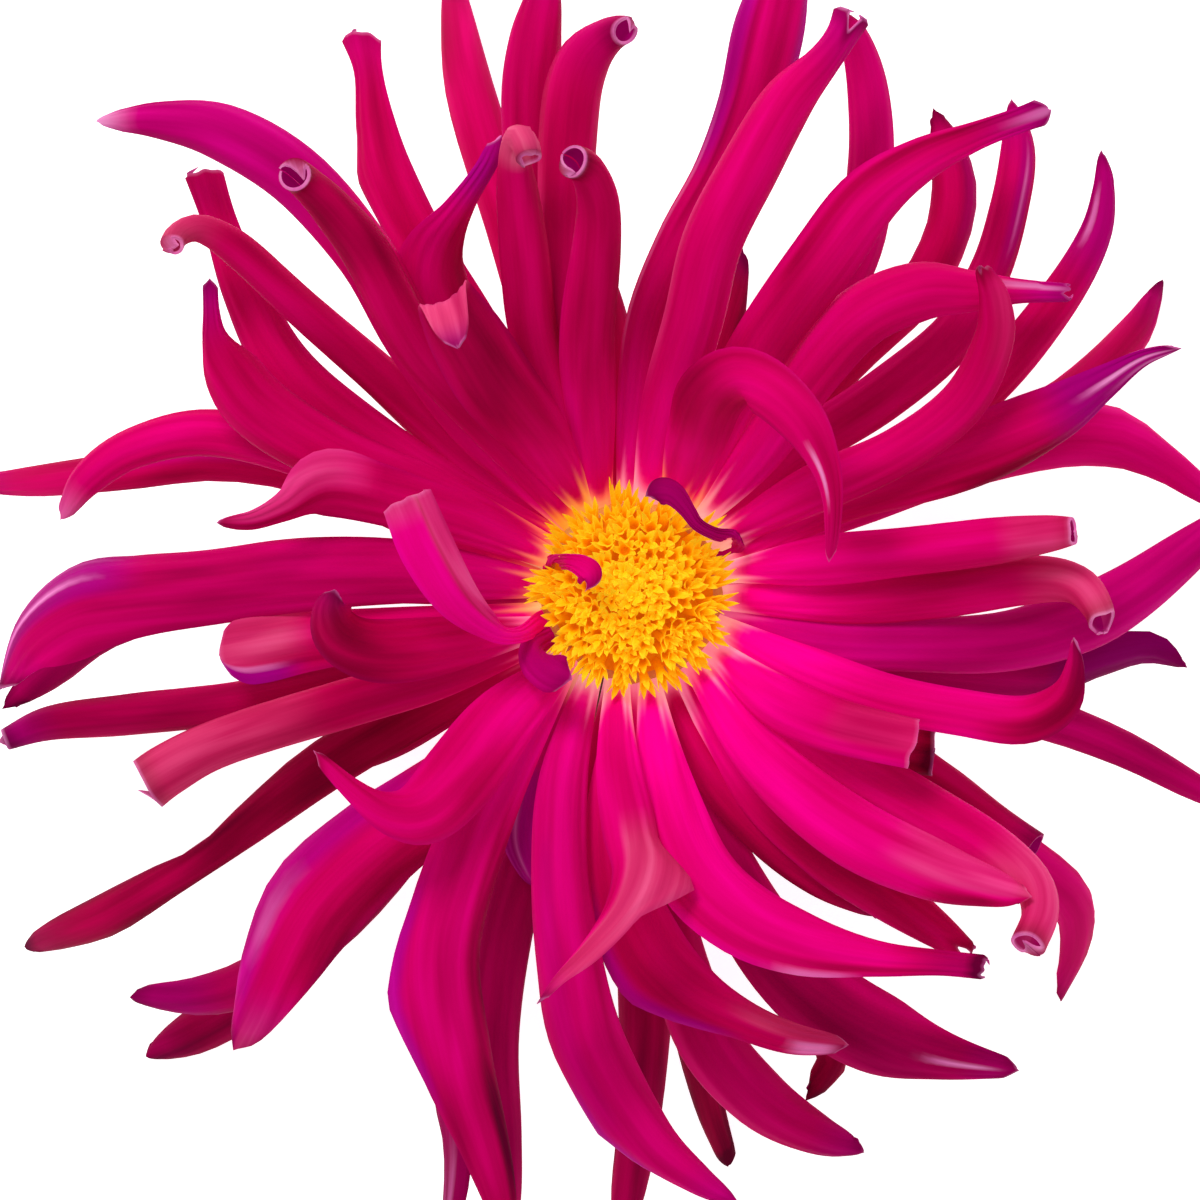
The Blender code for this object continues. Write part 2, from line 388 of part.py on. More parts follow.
def petal_mesh(kind, turn, points, gaps, fine):
    """One closed petal blade in millimetres: a crescent lofted along its curve."""
    top_stations, under_stations = FINE_STATIONS if fine else PLAIN_STATIONS
    root = list(points[0])
    reach = math.hypot(root[0], root[1])
    root[0] *= 1 - ROOT_SINK / reach
    root[1] *= 1 - ROOT_SINK / reach
    root[2] = min(root[2], ROOT_CEILING)
    stations = smooth_path([root] + points, gaps + 1)
    rings = []
    bm = bmesh.new()
    for i, (place, side, face) in enumerate(petal_frames(stations, turn)):
        u = i / gaps
        half_width = max(stations[i][3] / 2, LEAST_HALF_WIDTH)
        roll = three_way(ROLLS[kind], u)
        if half_width < NARROW_HALF_WIDTH:
            roll = min(roll, NARROW_ROLL)
        thickness = min(BLADE_THICKNESS, 0.8 * half_width)
        ring = section(half_width, math.radians(roll), thickness, top_stations, under_stations)
        rings.append([bm.verts.new(place + side * a + face * b) for a, b in ring])
    top = len(top_stations)
    order = list(range(top)) + list(range(len(rings[0]) - 1, top - 1, -1))
    for ring, after in zip(rings, rings[1:]):
        for a, b in zip(order, order[1:] + order[:1]):
            low, high = min(a, b), max(a, b)
            bm.faces.new((ring[low], ring[high], after[high]))
            bm.faces.new((ring[low], after[high], after[low]))
    for ring in (rings[0], rings[-1]):
        for i in range(top - 1):
            under = top + min(i, len(under_stations) - 1)
            bm.faces.new((ring[i], ring[i + 1], ring[under]))
            if i < len(under_stations) - 1:
                bm.faces.new((ring[i + 1], ring[under + 1], ring[under]))
    bmesh.ops.recalc_face_normals(bm, faces=bm.faces)
    return bm


def rear_petals():
    """Rows of way-points for the short petals at the back, a little uneven."""
    draw = random.Random(SEED)
    rows = []
    for azimuth in REAR_AZIMUTHS:
        angle = math.radians(azimuth + draw.uniform(-1, 1))
        length = REAR_LENGTH * draw.uniform(0.94, 1.06)
        points = []
        for share, rise, width in REAR_SHAPE:
            reach = REAR_ROOT_RADIUS + length * share
            points.append((reach * math.cos(angle), reach * math.sin(angle),
                           REAR_ROOT_HEIGHT + rise, REAR_WIDTH * width))
        rows.append(points)
    return rows


def turned_solid(profile, sides):
    """A closed solid of revolution from (radius, height) pairs, top to bottom."""
    bm = bmesh.new()
    rings = []
    for radius, height in profile:
        if radius == 0:
            rings.append([bm.verts.new((0, 0, height))])
            continue
        rings.append([bm.verts.new((radius * math.cos(2 * math.pi * k / sides),
                                    radius * math.sin(2 * math.pi * k / sides), height))
                      for k in range(sides)])
    for upper, lower in zip(rings, rings[1:]):
        for k in range(sides):
            n = (k + 1) % sides
            corners = [upper[k % len(upper)], lower[k % len(lower)],
                       lower[n % len(lower)], upper[n % len(upper)]]
            distinct = list(dict.fromkeys(corners))
            bm.faces.new(distinct)
    return bm


def fuse(item, repeats):
    """Joins a collection of repeats to one solid, and keeps the one main body."""
    joining = item.modifiers.new("join", "BOOLEAN")
    joining.operation = "UNION"
    joining.operand_type = "COLLECTION"
    joining.collection = repeats
    joining.solver = "MANIFOLD"
    bpy.context.view_layer.update()
    graph = bpy.context.evaluated_depsgraph_get()
    joined = bpy.data.meshes.new_from_object(item.evaluated_get(graph))
    item.modifiers.remove(joining)
    item.data = joined
    for repeat in list(repeats.objects):
        bpy.data.objects.remove(repeat, do_unlink=True)
    bpy.data.collections.remove(repeats)
    keep_main_body(item)


def keep_main_body(item):
    """Drops loose scraps and the walls of sealed hollows."""
    bm = bmesh.new()
    bm.from_mesh(item.data)
    bmesh.ops.triangulate(bm, faces=bm.faces)
    left = set(bm.faces)
    bodies = []
    while left:
        stack = [left.pop()]
        body = []
        while stack:
            face = stack.pop()
            body.append(face)
            for edge in face.edges:
                for other in edge.link_faces:
                    if other in left:
                        left.remove(other)
                        stack.append(other)
        volume = 0.0
        for face in body:
            a, b, c = (v.co for v in face.verts)
            volume += a.dot(b.cross(c)) / 6
        bodies.append((volume, body))
    bodies.sort(key=lambda entry: entry[0])
    scraps = [face for _, body in bodies[:-1] for face in body]
    bmesh.ops.delete(bm, geom=scraps, context="FACES")
    bm.to_mesh(item.data)
    bm.free()


def build_petals(parts, material):
    profile = [(0, RECEPTACLE_TOP), (RECEPTACLE_RADIUS - RIM_BEVEL, RECEPTACLE_TOP),
               (RECEPTACLE_RADIUS, RECEPTACLE_TOP - RIM_BEVEL * 1.6),
               (RECEPTACLE_RADIUS, RECEPTACLE_WAIST), RECEPTACLE_SHOULDER,
               (RECEPTACLE_NECK, RECEPTACLE_BOTTOM), (0, RECEPTACLE_BOTTOM)]
    item = new_object("ray_petals", turned_solid(profile, HEAD_SIDES), parts, material)
    repeats = new_collection("petal repeats")
    for name, kind, turn, points in TOP_PETALS + LEFT_PETALS + BOTTOM_PETALS + RIGHT_PETALS:
        shown = points[0][2] > SHOWN_ROOT
        gaps = len(points) if shown else PLAIN_GAPS
        new_object(name, petal_mesh(kind, turn, points, gaps, shown), repeats)
    for name, kind, turn, points in INNER_PETALS:
        new_object(name, petal_mesh(kind, turn, points, PLAIN_GAPS, False), repeats)
    for number, points in enumerate(rear_petals()):
        bm = petal_mesh("strap", (0, 0), points, REAR_GAPS, False)
        new_object(f"rear {number}", bm, repeats)
    fuse(item, repeats)
    return item


def near_inner_petal(place):
    """Whether a floret standing here would touch a petal that curls in over the disc."""
    for _, _, _, points in INNER_PETALS:
        for row in smooth_path(points, 9):
            beside = math.dist(row[:2], place[:2]) < FLORET_CLEARANCE
            if beside and row[2] - place[2] < FLORET_CLEARANCE * 1.25:
                return True
    return False


def build_florets(parts, material):
    profile = [(0, DISC_BASE + DISC_RISE), (DISC_RADIUS * 0.5, DISC_BASE + DISC_RISE * 0.8),
               (DISC_RADIUS * 0.85, DISC_BASE + DISC_RISE * 0.38), (DISC_RADIUS, DISC_BASE + 0.3),
               (DISC_RADIUS, DISC_BASE), (0, DISC_BASE)]
    item = new_object("disc_florets", turned_solid(profile, DISC_SIDES), parts, material)
    repeats = new_collection("floret repeats")
    draw = random.Random(SEED)
    golden = math.pi * (3 - math.sqrt(5))
    for i in range(FLORET_COUNT):
        share = math.sqrt((i + 0.5) / FLORET_COUNT)
        reach = (DISC_RADIUS - FLORET_EDGE) * share
        angle = golden * i
        lean = math.radians(FLORET_RIM_LEAN * share ** 1.5 + draw.uniform(-4, 4))
        length = FLORET_LENGTH * draw.uniform(0.88, 1.08)
        outward = Vector((math.cos(angle), math.sin(angle), 0))
        axis = outward * math.sin(lean) + Vector((0, 0, math.cos(lean)))
        root = outward * reach
        root.z = DISC_BASE + DISC_RISE * (1 - share ** 2) * 0.9 + 0.2
        root -= axis * FLORET_SINK
        root.z = max(root.z, DISC_BASE + FLORET_ROOT_RADIUS * math.sin(lean) + 0.05)
        if any(near_inner_petal(root + axis * length * t) for t in (0.2, 0.6, 1)):
            continue
        bm = bmesh.new()
        bmesh.ops.create_cone(bm, cap_ends=True, segments=FLORET_SIDES,
                              radius1=FLORET_ROOT_RADIUS, radius2=FLORET_MOUTH_RADIUS,
                              depth=length)
        turn = Vector((0, 0, 1)).rotation_difference(axis).to_matrix().to_4x4()
        place = Matrix.Translation(root + axis * length / 2)
        bmesh.ops.transform(bm, matrix=place @ turn, verts=bm.verts)
        new_object(f"floret {i}", bm, repeats)
    fuse(item, repeats)
    return item


def bract_mesh(angle, length):
    """A leafy bract: a thin arched blade, bent back from the cup."""
    bm = bmesh.new()
    rows = []
    under_edge = -BRACT_FOLD - BRACT_THICKNESS
    for t, width in BRACT_SHAPE:
        reach = BRACT_ROOT_RADIUS + length * t
        height = BRACT_HEIGHT - BRACT_DROOP * t * t
        half = BRACT_WIDTH * width / 2
        row = []
        for sideways, up in ((-half, -BRACT_FOLD), (0, 0), (half, -BRACT_FOLD),
                             (half, under_edge), (0, -BRACT_THICKNESS), (-half, under_edge)):
            row.append(bm.verts.new((reach, sideways, height + up)))
        rows.append(row)
    for near, far in zip(rows, rows[1:]):
        for k in range(6):
            n = (k + 1) % 6
            bm.faces.new((near[k], near[n], far[n]))
            bm.faces.new((near[k], far[n], far[k]))
    for row in (rows[0], rows[-1]):
        bm.faces.new((row[0], row[1], row[4], row[5]))
        bm.faces.new((row[1], row[2], row[3], row[4]))
    bmesh.ops.transform(bm, matrix=Matrix.Rotation(angle, 4, "Z"), verts=bm.verts)
    return bm


def build_bracts(parts, material):
    inside = RECEPTACLE_BOTTOM - PIECE_GAP
    underside = STEM_TOP + PIECE_GAP
    profile = [(0, inside), (RECEPTACLE_NECK + PIECE_GAP * 0.4, inside), CUP_RIM, CUP_LIP,
               CUP_BELLY, (STEM_RADIUS + STEM_FLARE + 0.2, underside), (0, underside)]
    item = new_object("bracts", turned_solid(profile, HEAD_SIDES), parts, material)
    repeats = new_collection("bract repeats")
    draw = random.Random(SEED)
    for i in range(BRACT_COUNT):
        angle = 2 * math.pi * (i + draw.uniform(-0.12, 0.12)) / BRACT_COUNT
        length = BRACT_LENGTH * draw.uniform(0.85, 1.1)
        new_object(f"bract {i}", bract_mesh(angle, length), repeats)
    fuse(item, repeats)
    return item


def build_stem(parts, material):
    profile = [(0, STEM_TOP), (STEM_RADIUS + STEM_FLARE, STEM_TOP),
               (STEM_RADIUS, STEM_TOP - STEM_FLARE_DEPTH), (STEM_RADIUS * 0.97, STEM_TOP * 0.45),
               (STEM_RADIUS * 1.02, 1.0), (STEM_RADIUS * 0.98, 0.0), (0, 0.0)]
    return new_object("stem", turned_solid(profile, STEM_SIDES), parts, material)


def set_down(items):
    """Turns millimetres to metres, with the origin at the middle of the footprint."""
    corners = [v.co for item in items for v in item.data.vertices]
    low = [min(c[k] for c in corners) for k in range(3)]
    high = [max(c[k] for c in corners) for k in range(3)]
    centre = Vector(((low[0] + high[0]) / 2, (low[1] + high[1]) / 2, 0))
    for item in items:
        move = Matrix.Scale(MM, 4) @ Matrix.Translation(-centre)
        item.data.transform(move)
        item.data.shade_smooth()
        item.data.set_sharp_from_angle(angle=math.radians(35))


def main():
    clear_scene()
    parts = new_collection("cactus dahlia bloom")
    pink = new_material("dahlia petal", (0.72, 0.0, 0.13), 0.45)
    yellow = new_material("disc floret", (0.95, 0.42, 0.0), 0.55)
    green = new_material("green bract", (0.10, 0.22, 0.04), 0.55)
    stalk = new_material("dahlia stem", (0.16, 0.26, 0.07), 0.5)
    items = [
        build_petals(parts, pink),
        build_florets(parts, yellow),
        build_bracts(parts, green),
        build_stem(parts, stalk),
    ]
    set_down(items)


main()
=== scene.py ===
# Cactus dahlia, picked and laid face up on a white table, seen from straight above.
# Every petal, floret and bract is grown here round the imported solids, in millimetres
# from the flower's axis.

import math
import random

import bpy
import numpy as np
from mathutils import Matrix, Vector


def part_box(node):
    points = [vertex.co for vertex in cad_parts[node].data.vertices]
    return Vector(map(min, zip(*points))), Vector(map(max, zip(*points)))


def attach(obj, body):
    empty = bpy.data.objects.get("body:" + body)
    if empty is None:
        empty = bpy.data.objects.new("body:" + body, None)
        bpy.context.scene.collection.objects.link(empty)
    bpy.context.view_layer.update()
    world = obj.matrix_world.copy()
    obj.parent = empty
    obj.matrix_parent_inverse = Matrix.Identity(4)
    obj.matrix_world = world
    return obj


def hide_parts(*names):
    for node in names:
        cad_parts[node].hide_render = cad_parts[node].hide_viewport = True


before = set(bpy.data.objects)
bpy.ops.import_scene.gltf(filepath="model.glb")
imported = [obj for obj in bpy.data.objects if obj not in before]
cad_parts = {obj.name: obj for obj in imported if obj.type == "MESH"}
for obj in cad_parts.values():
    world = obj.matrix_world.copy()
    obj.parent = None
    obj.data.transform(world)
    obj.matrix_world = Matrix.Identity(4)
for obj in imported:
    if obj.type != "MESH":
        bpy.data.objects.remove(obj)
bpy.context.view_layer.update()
stemLow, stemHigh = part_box("stem")
axisX = (stemLow.x + stemHigh.x) / 2
axisY = (stemLow.y + stemHigh.y) / 2
mm = 0.001
print("frame loaded, flower axis at", round(axisX / mm, 2), round(axisY / mm, 2), "mm")


def linear(hexColour):
    values = [int(hexColour[k:k + 2], 16) / 255 for k in (1, 3, 5)]
    return [v / 12.92 if v <= 0.04045 else ((v + 0.055) / 1.055) ** 2.4 for v in values] + [1]


def addNode(tree, kind, sockets=None, stops=None, **settings):
    # sockets: name or number -> a value, a hex colour or another node's output
    node = tree.nodes.new("ShaderNode" + kind)
    for name, value in settings.items():
        setattr(node, name, value)
    for socket, value in (sockets or {}).items():
        if isinstance(value, bpy.types.NodeSocket):
            tree.links.new(value, node.inputs[socket])
        else:
            node.inputs[socket].default_value = linear(value) if isinstance(value, str) else value
    if stops:
        ramp = node.color_ramp.elements
        while len(ramp) < len(stops):
            ramp.new(0.5)
        for element, (position, colour) in zip(ramp, stops):
            element.position = position
            element.color = linear(colour)
    return node


def startMaterial(name):
    material = bpy.data.materials.new(name)
    material.use_nodes = True
    tree = material.node_tree
    tree.nodes.clear()
    shader = tree.nodes.new("ShaderNodeBsdfPrincipled")
    output = tree.nodes.new("ShaderNodeOutputMaterial")
    tree.links.new(shader.outputs[0], output.inputs[0])
    return material, tree, shader


def smoothStep(x):
    x = np.clip(x, 0, 1)
    return x * x * (3 - 2 * x)


def buildPiece(name, verts, faces, material, replaced, vectors=None, colours=None, sharp=50):
    # verts are in millimetres from the flower's axis
    mesh = bpy.data.meshes.new(name)
    verts = np.asarray(verts, float) * mm + (axisX, axisY, 0)
    mesh.from_pydata(verts.tolist(), [], faces)
    for label, values in (vectors or {}).items():
        layer = mesh.attributes.new(label, "FLOAT_VECTOR", "POINT")
        layer.data.foreach_set("vector", np.asarray(values, np.float32).ravel())
    for label, values in (colours or {}).items():
        layer = mesh.attributes.new(label, "FLOAT_COLOR", "POINT")
        layer.data.foreach_set("color", np.asarray(values, np.float32).ravel())
    mesh.materials.append(material)
    mesh.shade_smooth()
    mesh.set_sharp_from_angle(angle=math.radians(sharp))
    piece = bpy.data.objects.new(name, mesh)
    bpy.context.scene.collection.objects.link(piece)
    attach(piece, "root")
    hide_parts(*replaced)
    return piece


# Dahlia ray petals: living tissue, satin, with veins that run lengthwise. To the eye that
# is a saturated magenta with fine paler and darker streaks, crimson on the darker petals and
# patches (partly their own colour, partly painted shade), orange to cream at the claw and
# lilac on the back, with a faint painted glow of their own colour.
petalFinish = {
    "fineVein": (0.6, 24.0),       # mm across and along; drawn coarser than the real 0.2 mm
    "broadVein": (3.4, 26.0),
    "fineShare": 0.18,
    "veinContrast": 0.3,
    "front": ((0.0, "#560020"), (0.18, "#8A0030"), (0.38, "#B20046"), (0.58, "#CE005E"), (0.78, "#E40078"),
              (1.0, "#FA0096")),
    "claw": ((0.0, "#EC0C50"), (0.25, "#F84A30"), (0.5, "#FF8E2C"), (0.75, "#FFC042"), (1.0, "#FFE09A")),
    "paleClaw": ((0.0, "#FA1496"), (0.35, "#FF5CB0"), (0.7, "#FFA0C6"), (1.0, "#FFDCCC")),
    "violet": ((0.0, "#780048"), (0.5, "#A00076"), (1.0, "#CC0AA0")),
    # pale: pale streaks of the petal, and painted highlights along folds and cut edges
    "paleAndHighlight": ((0.0, "#EE60BC"), (1.0, "#F6AADC")),
    "dusty": ((0.0, "#B01C50"), (0.5, "#CE3C6C"), (1.0, "#E66C90")),
    "reverse": ((0.0, "#880050"), (0.5, "#B40078"), (1.0, "#D41A9C")),
    # painted glow: the petals give off a little of their own colour, though they are no lamp; strength on the
    # front, on the back and extra at the claw
    "paintedGlow": (0.06, 0.26, 0.26),
    "roughness": 0.55,
    "specular": 0.02,
    "gloss": "#FF8CD2",
}


def dahliaPetal():
    look = petalFinish
    material, tree, shader = startMaterial("dahlia petal satin")
    place = addNode(tree, "Attribute", attribute_name="petalPlace")
    marks = addNode(tree, "Attribute", attribute_name="petalMarks")
    claws = addNode(tree, "Attribute", attribute_name="petalClaw")
    split = addNode(tree, "SeparateXYZ", {0: place.outputs["Vector"]})
    mark = addNode(tree, "SeparateColor", {0: marks.outputs["Color"]})
    claw = addNode(tree, "SeparateXYZ", {0: claws.outputs["Vector"]})
    fineX, fineY = look["fineVein"]
    broadX, broadY = look["broadVein"]
    finePlace = addNode(tree, "VectorMath", {0: place.outputs["Vector"], 1: (1 / fineX, 1 / fineY, 0)},
                        operation="MULTIPLY")
    fine = addNode(tree, "TexNoise", {"Vector": finePlace.outputs[0], "Scale": 1.0, "Detail": 2.0})
    broadPlace = addNode(tree, "VectorMath", {0: place.outputs["Vector"], 1: (1 / broadX, 1 / broadY, 0)},
                         operation="MULTIPLY")
    broad = addNode(tree, "TexNoise", {"Vector": broadPlace.outputs[0], "Scale": 1.0, "Detail": 1.5})
    # streaks: mostly the broad bands, with fine veins over them
    streaks = addNode(tree, "Mix", {0: look["fineShare"], 2: broad.outputs[0], 3: fine.outputs[0]})
    stretched = addNode(tree, "MapRange", {0: streaks.outputs[0], 1: 0.32, 2: 0.68})
    centred = addNode(tree, "Math", {0: stretched.outputs[0], 1: 0.5}, operation="SUBTRACT")
    tone = addNode(tree, "Math", {0: centred.outputs[0], 1: look["veinContrast"], 2: marks.outputs["Alpha"]},
                   operation="MULTIPLY_ADD")
    front = addNode(tree, "ValToRGB", {0: tone.outputs[0]}, stops=look["front"])
    clawTone = addNode(tree, "Math", {0: centred.outputs[0], 1: 0.35, 2: claw.outputs[1]},
                       operation="MULTIPLY_ADD")
    warmClaw = addNode(tree, "ValToRGB", {0: clawTone.outputs[0]}, stops=look["claw"])
    paleClaw = addNode(tree, "ValToRGB", {0: clawTone.outputs[0]}, stops=look["paleClaw"])
    violet = addNode(tree, "ValToRGB", {0: tone.outputs[0]}, stops=look["violet"])
    paleAndHighlight = addNode(tree, "ValToRGB", {0: stretched.outputs[0]}, stops=look["paleAndHighlight"])
    dusty = addNode(tree, "ValToRGB", {0: stretched.outputs[0]}, stops=look["dusty"])
    reverse = addNode(tree, "ValToRGB", {0: tone.outputs[0]}, stops=look["reverse"])
    clawColour = addNode(tree, "Mix", {0: claw.outputs[2], 6: warmClaw.outputs[0], 7: paleClaw.outputs[0]},
                         data_type="RGBA")
    layers = ((claw.outputs[0], clawColour.outputs[2]), (mark.outputs[0], violet.outputs[0]),
              (split.outputs[2], reverse.outputs[0]), (mark.outputs[2], dusty.outputs[0]),
              (mark.outputs[1], paleAndHighlight.outputs[0]))
    shown = front.outputs[0]
    for share, over in layers:
        shown = addNode(tree, "Mix", {0: share, 6: shown, 7: over}, data_type="RGBA").outputs[2]
    bump = addNode(tree, "Bump", {"Strength": 0.3, "Distance": 0.0002, "Height": fine.outputs[0]})
    paintedGlowFront, paintedGlowBack, paintedGlowClaw = look["paintedGlow"]
    paintedGlowBySide = addNode(tree, "MapRange", {0: split.outputs[2], 3: paintedGlowFront, 4: paintedGlowBack})
    paintedGlow = addNode(tree, "Math", {0: claw.outputs[0], 1: paintedGlowClaw, 2: paintedGlowBySide.outputs[0]},
                   operation="MULTIPLY_ADD")
    tree.links.new(shown, shader.inputs["Base Color"])
    # painted glow: the shown colour is also given off as light
    tree.links.new(shown, shader.inputs["Emission Color"])
    tree.links.new(paintedGlow.outputs[0], shader.inputs["Emission Strength"])
    material.cycles.emission_sampling = "NONE"      # far too weak to be a lamp
    tree.links.new(bump.outputs[0], shader.inputs["Normal"])
    shader.inputs["Roughness"].default_value = look["roughness"]
    shader.inputs["Specular IOR Level"].default_value = look["specular"]
    shader.inputs["Specular Tint"].default_value = linear(look["gloss"])
    return material


petalSatin = dahliaPetal()
print("petal material made")

# Rows of the bloom: name, kind, turn of the face (middle, tip) in degrees, and way-points
# (x, y, height, width) from the claw to the tip. They follow the rows of the solids, with the
# curls and ends of single petals drawn more closely.
topPetals = [
    ("t1", "tube", (0, 0), [(-4.5, 13, 43.5, 4), (-5.3, 24.5, 54, 7.5), (-5.5, 35, 64, 8),
     (-4.5, 46, 72, 7.2), (-4.2, 53.5, 76.5, 6.2), (-5.6, 58.2, 80, 5.2), (-7.8, 59.6, 83, 4.8)]),
    ("t2", "tube", (0, 0), [(-4.2, 12.6, 41, 3.8), (-8.2, 26, 47.5, 6.8), (-9.3, 40, 60, 7.8),
     (-8.8, 55, 64, 8), (-8, 68, 65, 8.4), (-6.6, 74.6, 65, 7.8), (-3.6, 78.2, 66, 5.2),
     (-0.4, 79.4, 68, 3.4)]),
    ("t3", "point", (0, 0), [(-5.5, 12, 38, 3.4), (-11.5, 28, 43, 6.5), (-14, 45, 50, 7),
     (-14.2, 60, 55, 7.8), (-14.2, 71, 56, 8.6), (-13.4, 79, 56, 7.6), (-12.4, 85, 55, 5.4),
     (-12, 91, 54, 2)]),
    ("t4", "tube", (0, 0), [(-6.6, 12, 41.5, 3.8), (-10.2, 25, 52, 6), (-13.4, 35, 61, 7),
     (-14.8, 46, 69, 7.2), (-15.8, 55, 73, 6.2), (-16.3, 60.4, 76, 4.6), (-15.8, 62.4, 78.6, 4.2),
     (-15.1, 60.2, 80.4, 3.8)]),
    ("t5", "point", (0, 0), [(-6.5, 11, 36, 3.2), (-12, 32, 38, 6), (-17.5, 52, 34, 7),
     (-21.6, 66, 27, 7.5), (-24.3, 76, 19, 6.8), (-25.6, 84, 10, 4.8), (-26.2, 91, 0.53, 2)]),
    ("t6", "strap", (5, 12), [(-8, 11.5, 38.5, 3.4), (-16.3, 23, 45.5, 7.5), (-24, 34.5, 53, 10),
     (-27.8, 43, 58.5, 11.5), (-27.4, 48.8, 61.5, 9.8), (-24.1, 54.4, 66, 6), (-20.2, 60.4, 69.5, 4.2),
     (-18.6, 65, 71, 3)]),
    ("t7", "strap", (0, 0), [(-7.5, 10, 38, 3.4), (-19, 32, 40.5, 6.5), (-29.5, 48.5, 42, 7.5),
     (-34.8, 59, 41, 7.8), (-37, 67.4, 37, 6), (-38, 75, 33, 4.2), (-39.2, 80.8, 30, 6.2)]),
    ("t8", "point", (0, 0), [(-9, 10, 41.5, 3.4), (-20.5, 22, 50.5, 7.5), (-30.4, 35, 60, 8),
     (-37.6, 48, 65, 8.4), (-47.2, 59.2, 66, 8.8), (-58.5, 66, 64, 8.4), (-68, 67.8, 61, 5.4),
     (-76.5, 67.2, 58, 1.8)]),
    ("t9", "tube", (0, 0), [(-9, 10.7, 43.5, 3.8), (-19.5, 23.2, 57, 7), (-30, 34.5, 68.5, 7),
     (-37, 47.5, 75, 7), (-42, 54, 77, 6), (-45.2, 57.2, 79, 5), (-46.4, 58, 82, 4.8)]),
    ("t10", "strap", (0, 0), [(-7, 12.5, 44, 3.8), (-12.5, 20.5, 56, 9), (-18, 27.5, 66, 11.5),
     (-22.5, 34.5, 73.5, 11), (-25.5, 39.5, 79, 9), (-26.2, 41, 83, 7.5),
     (-25.6, 38.5, 86, 6), (-24.6, 34.5, 86.5, 3.5)]),
]
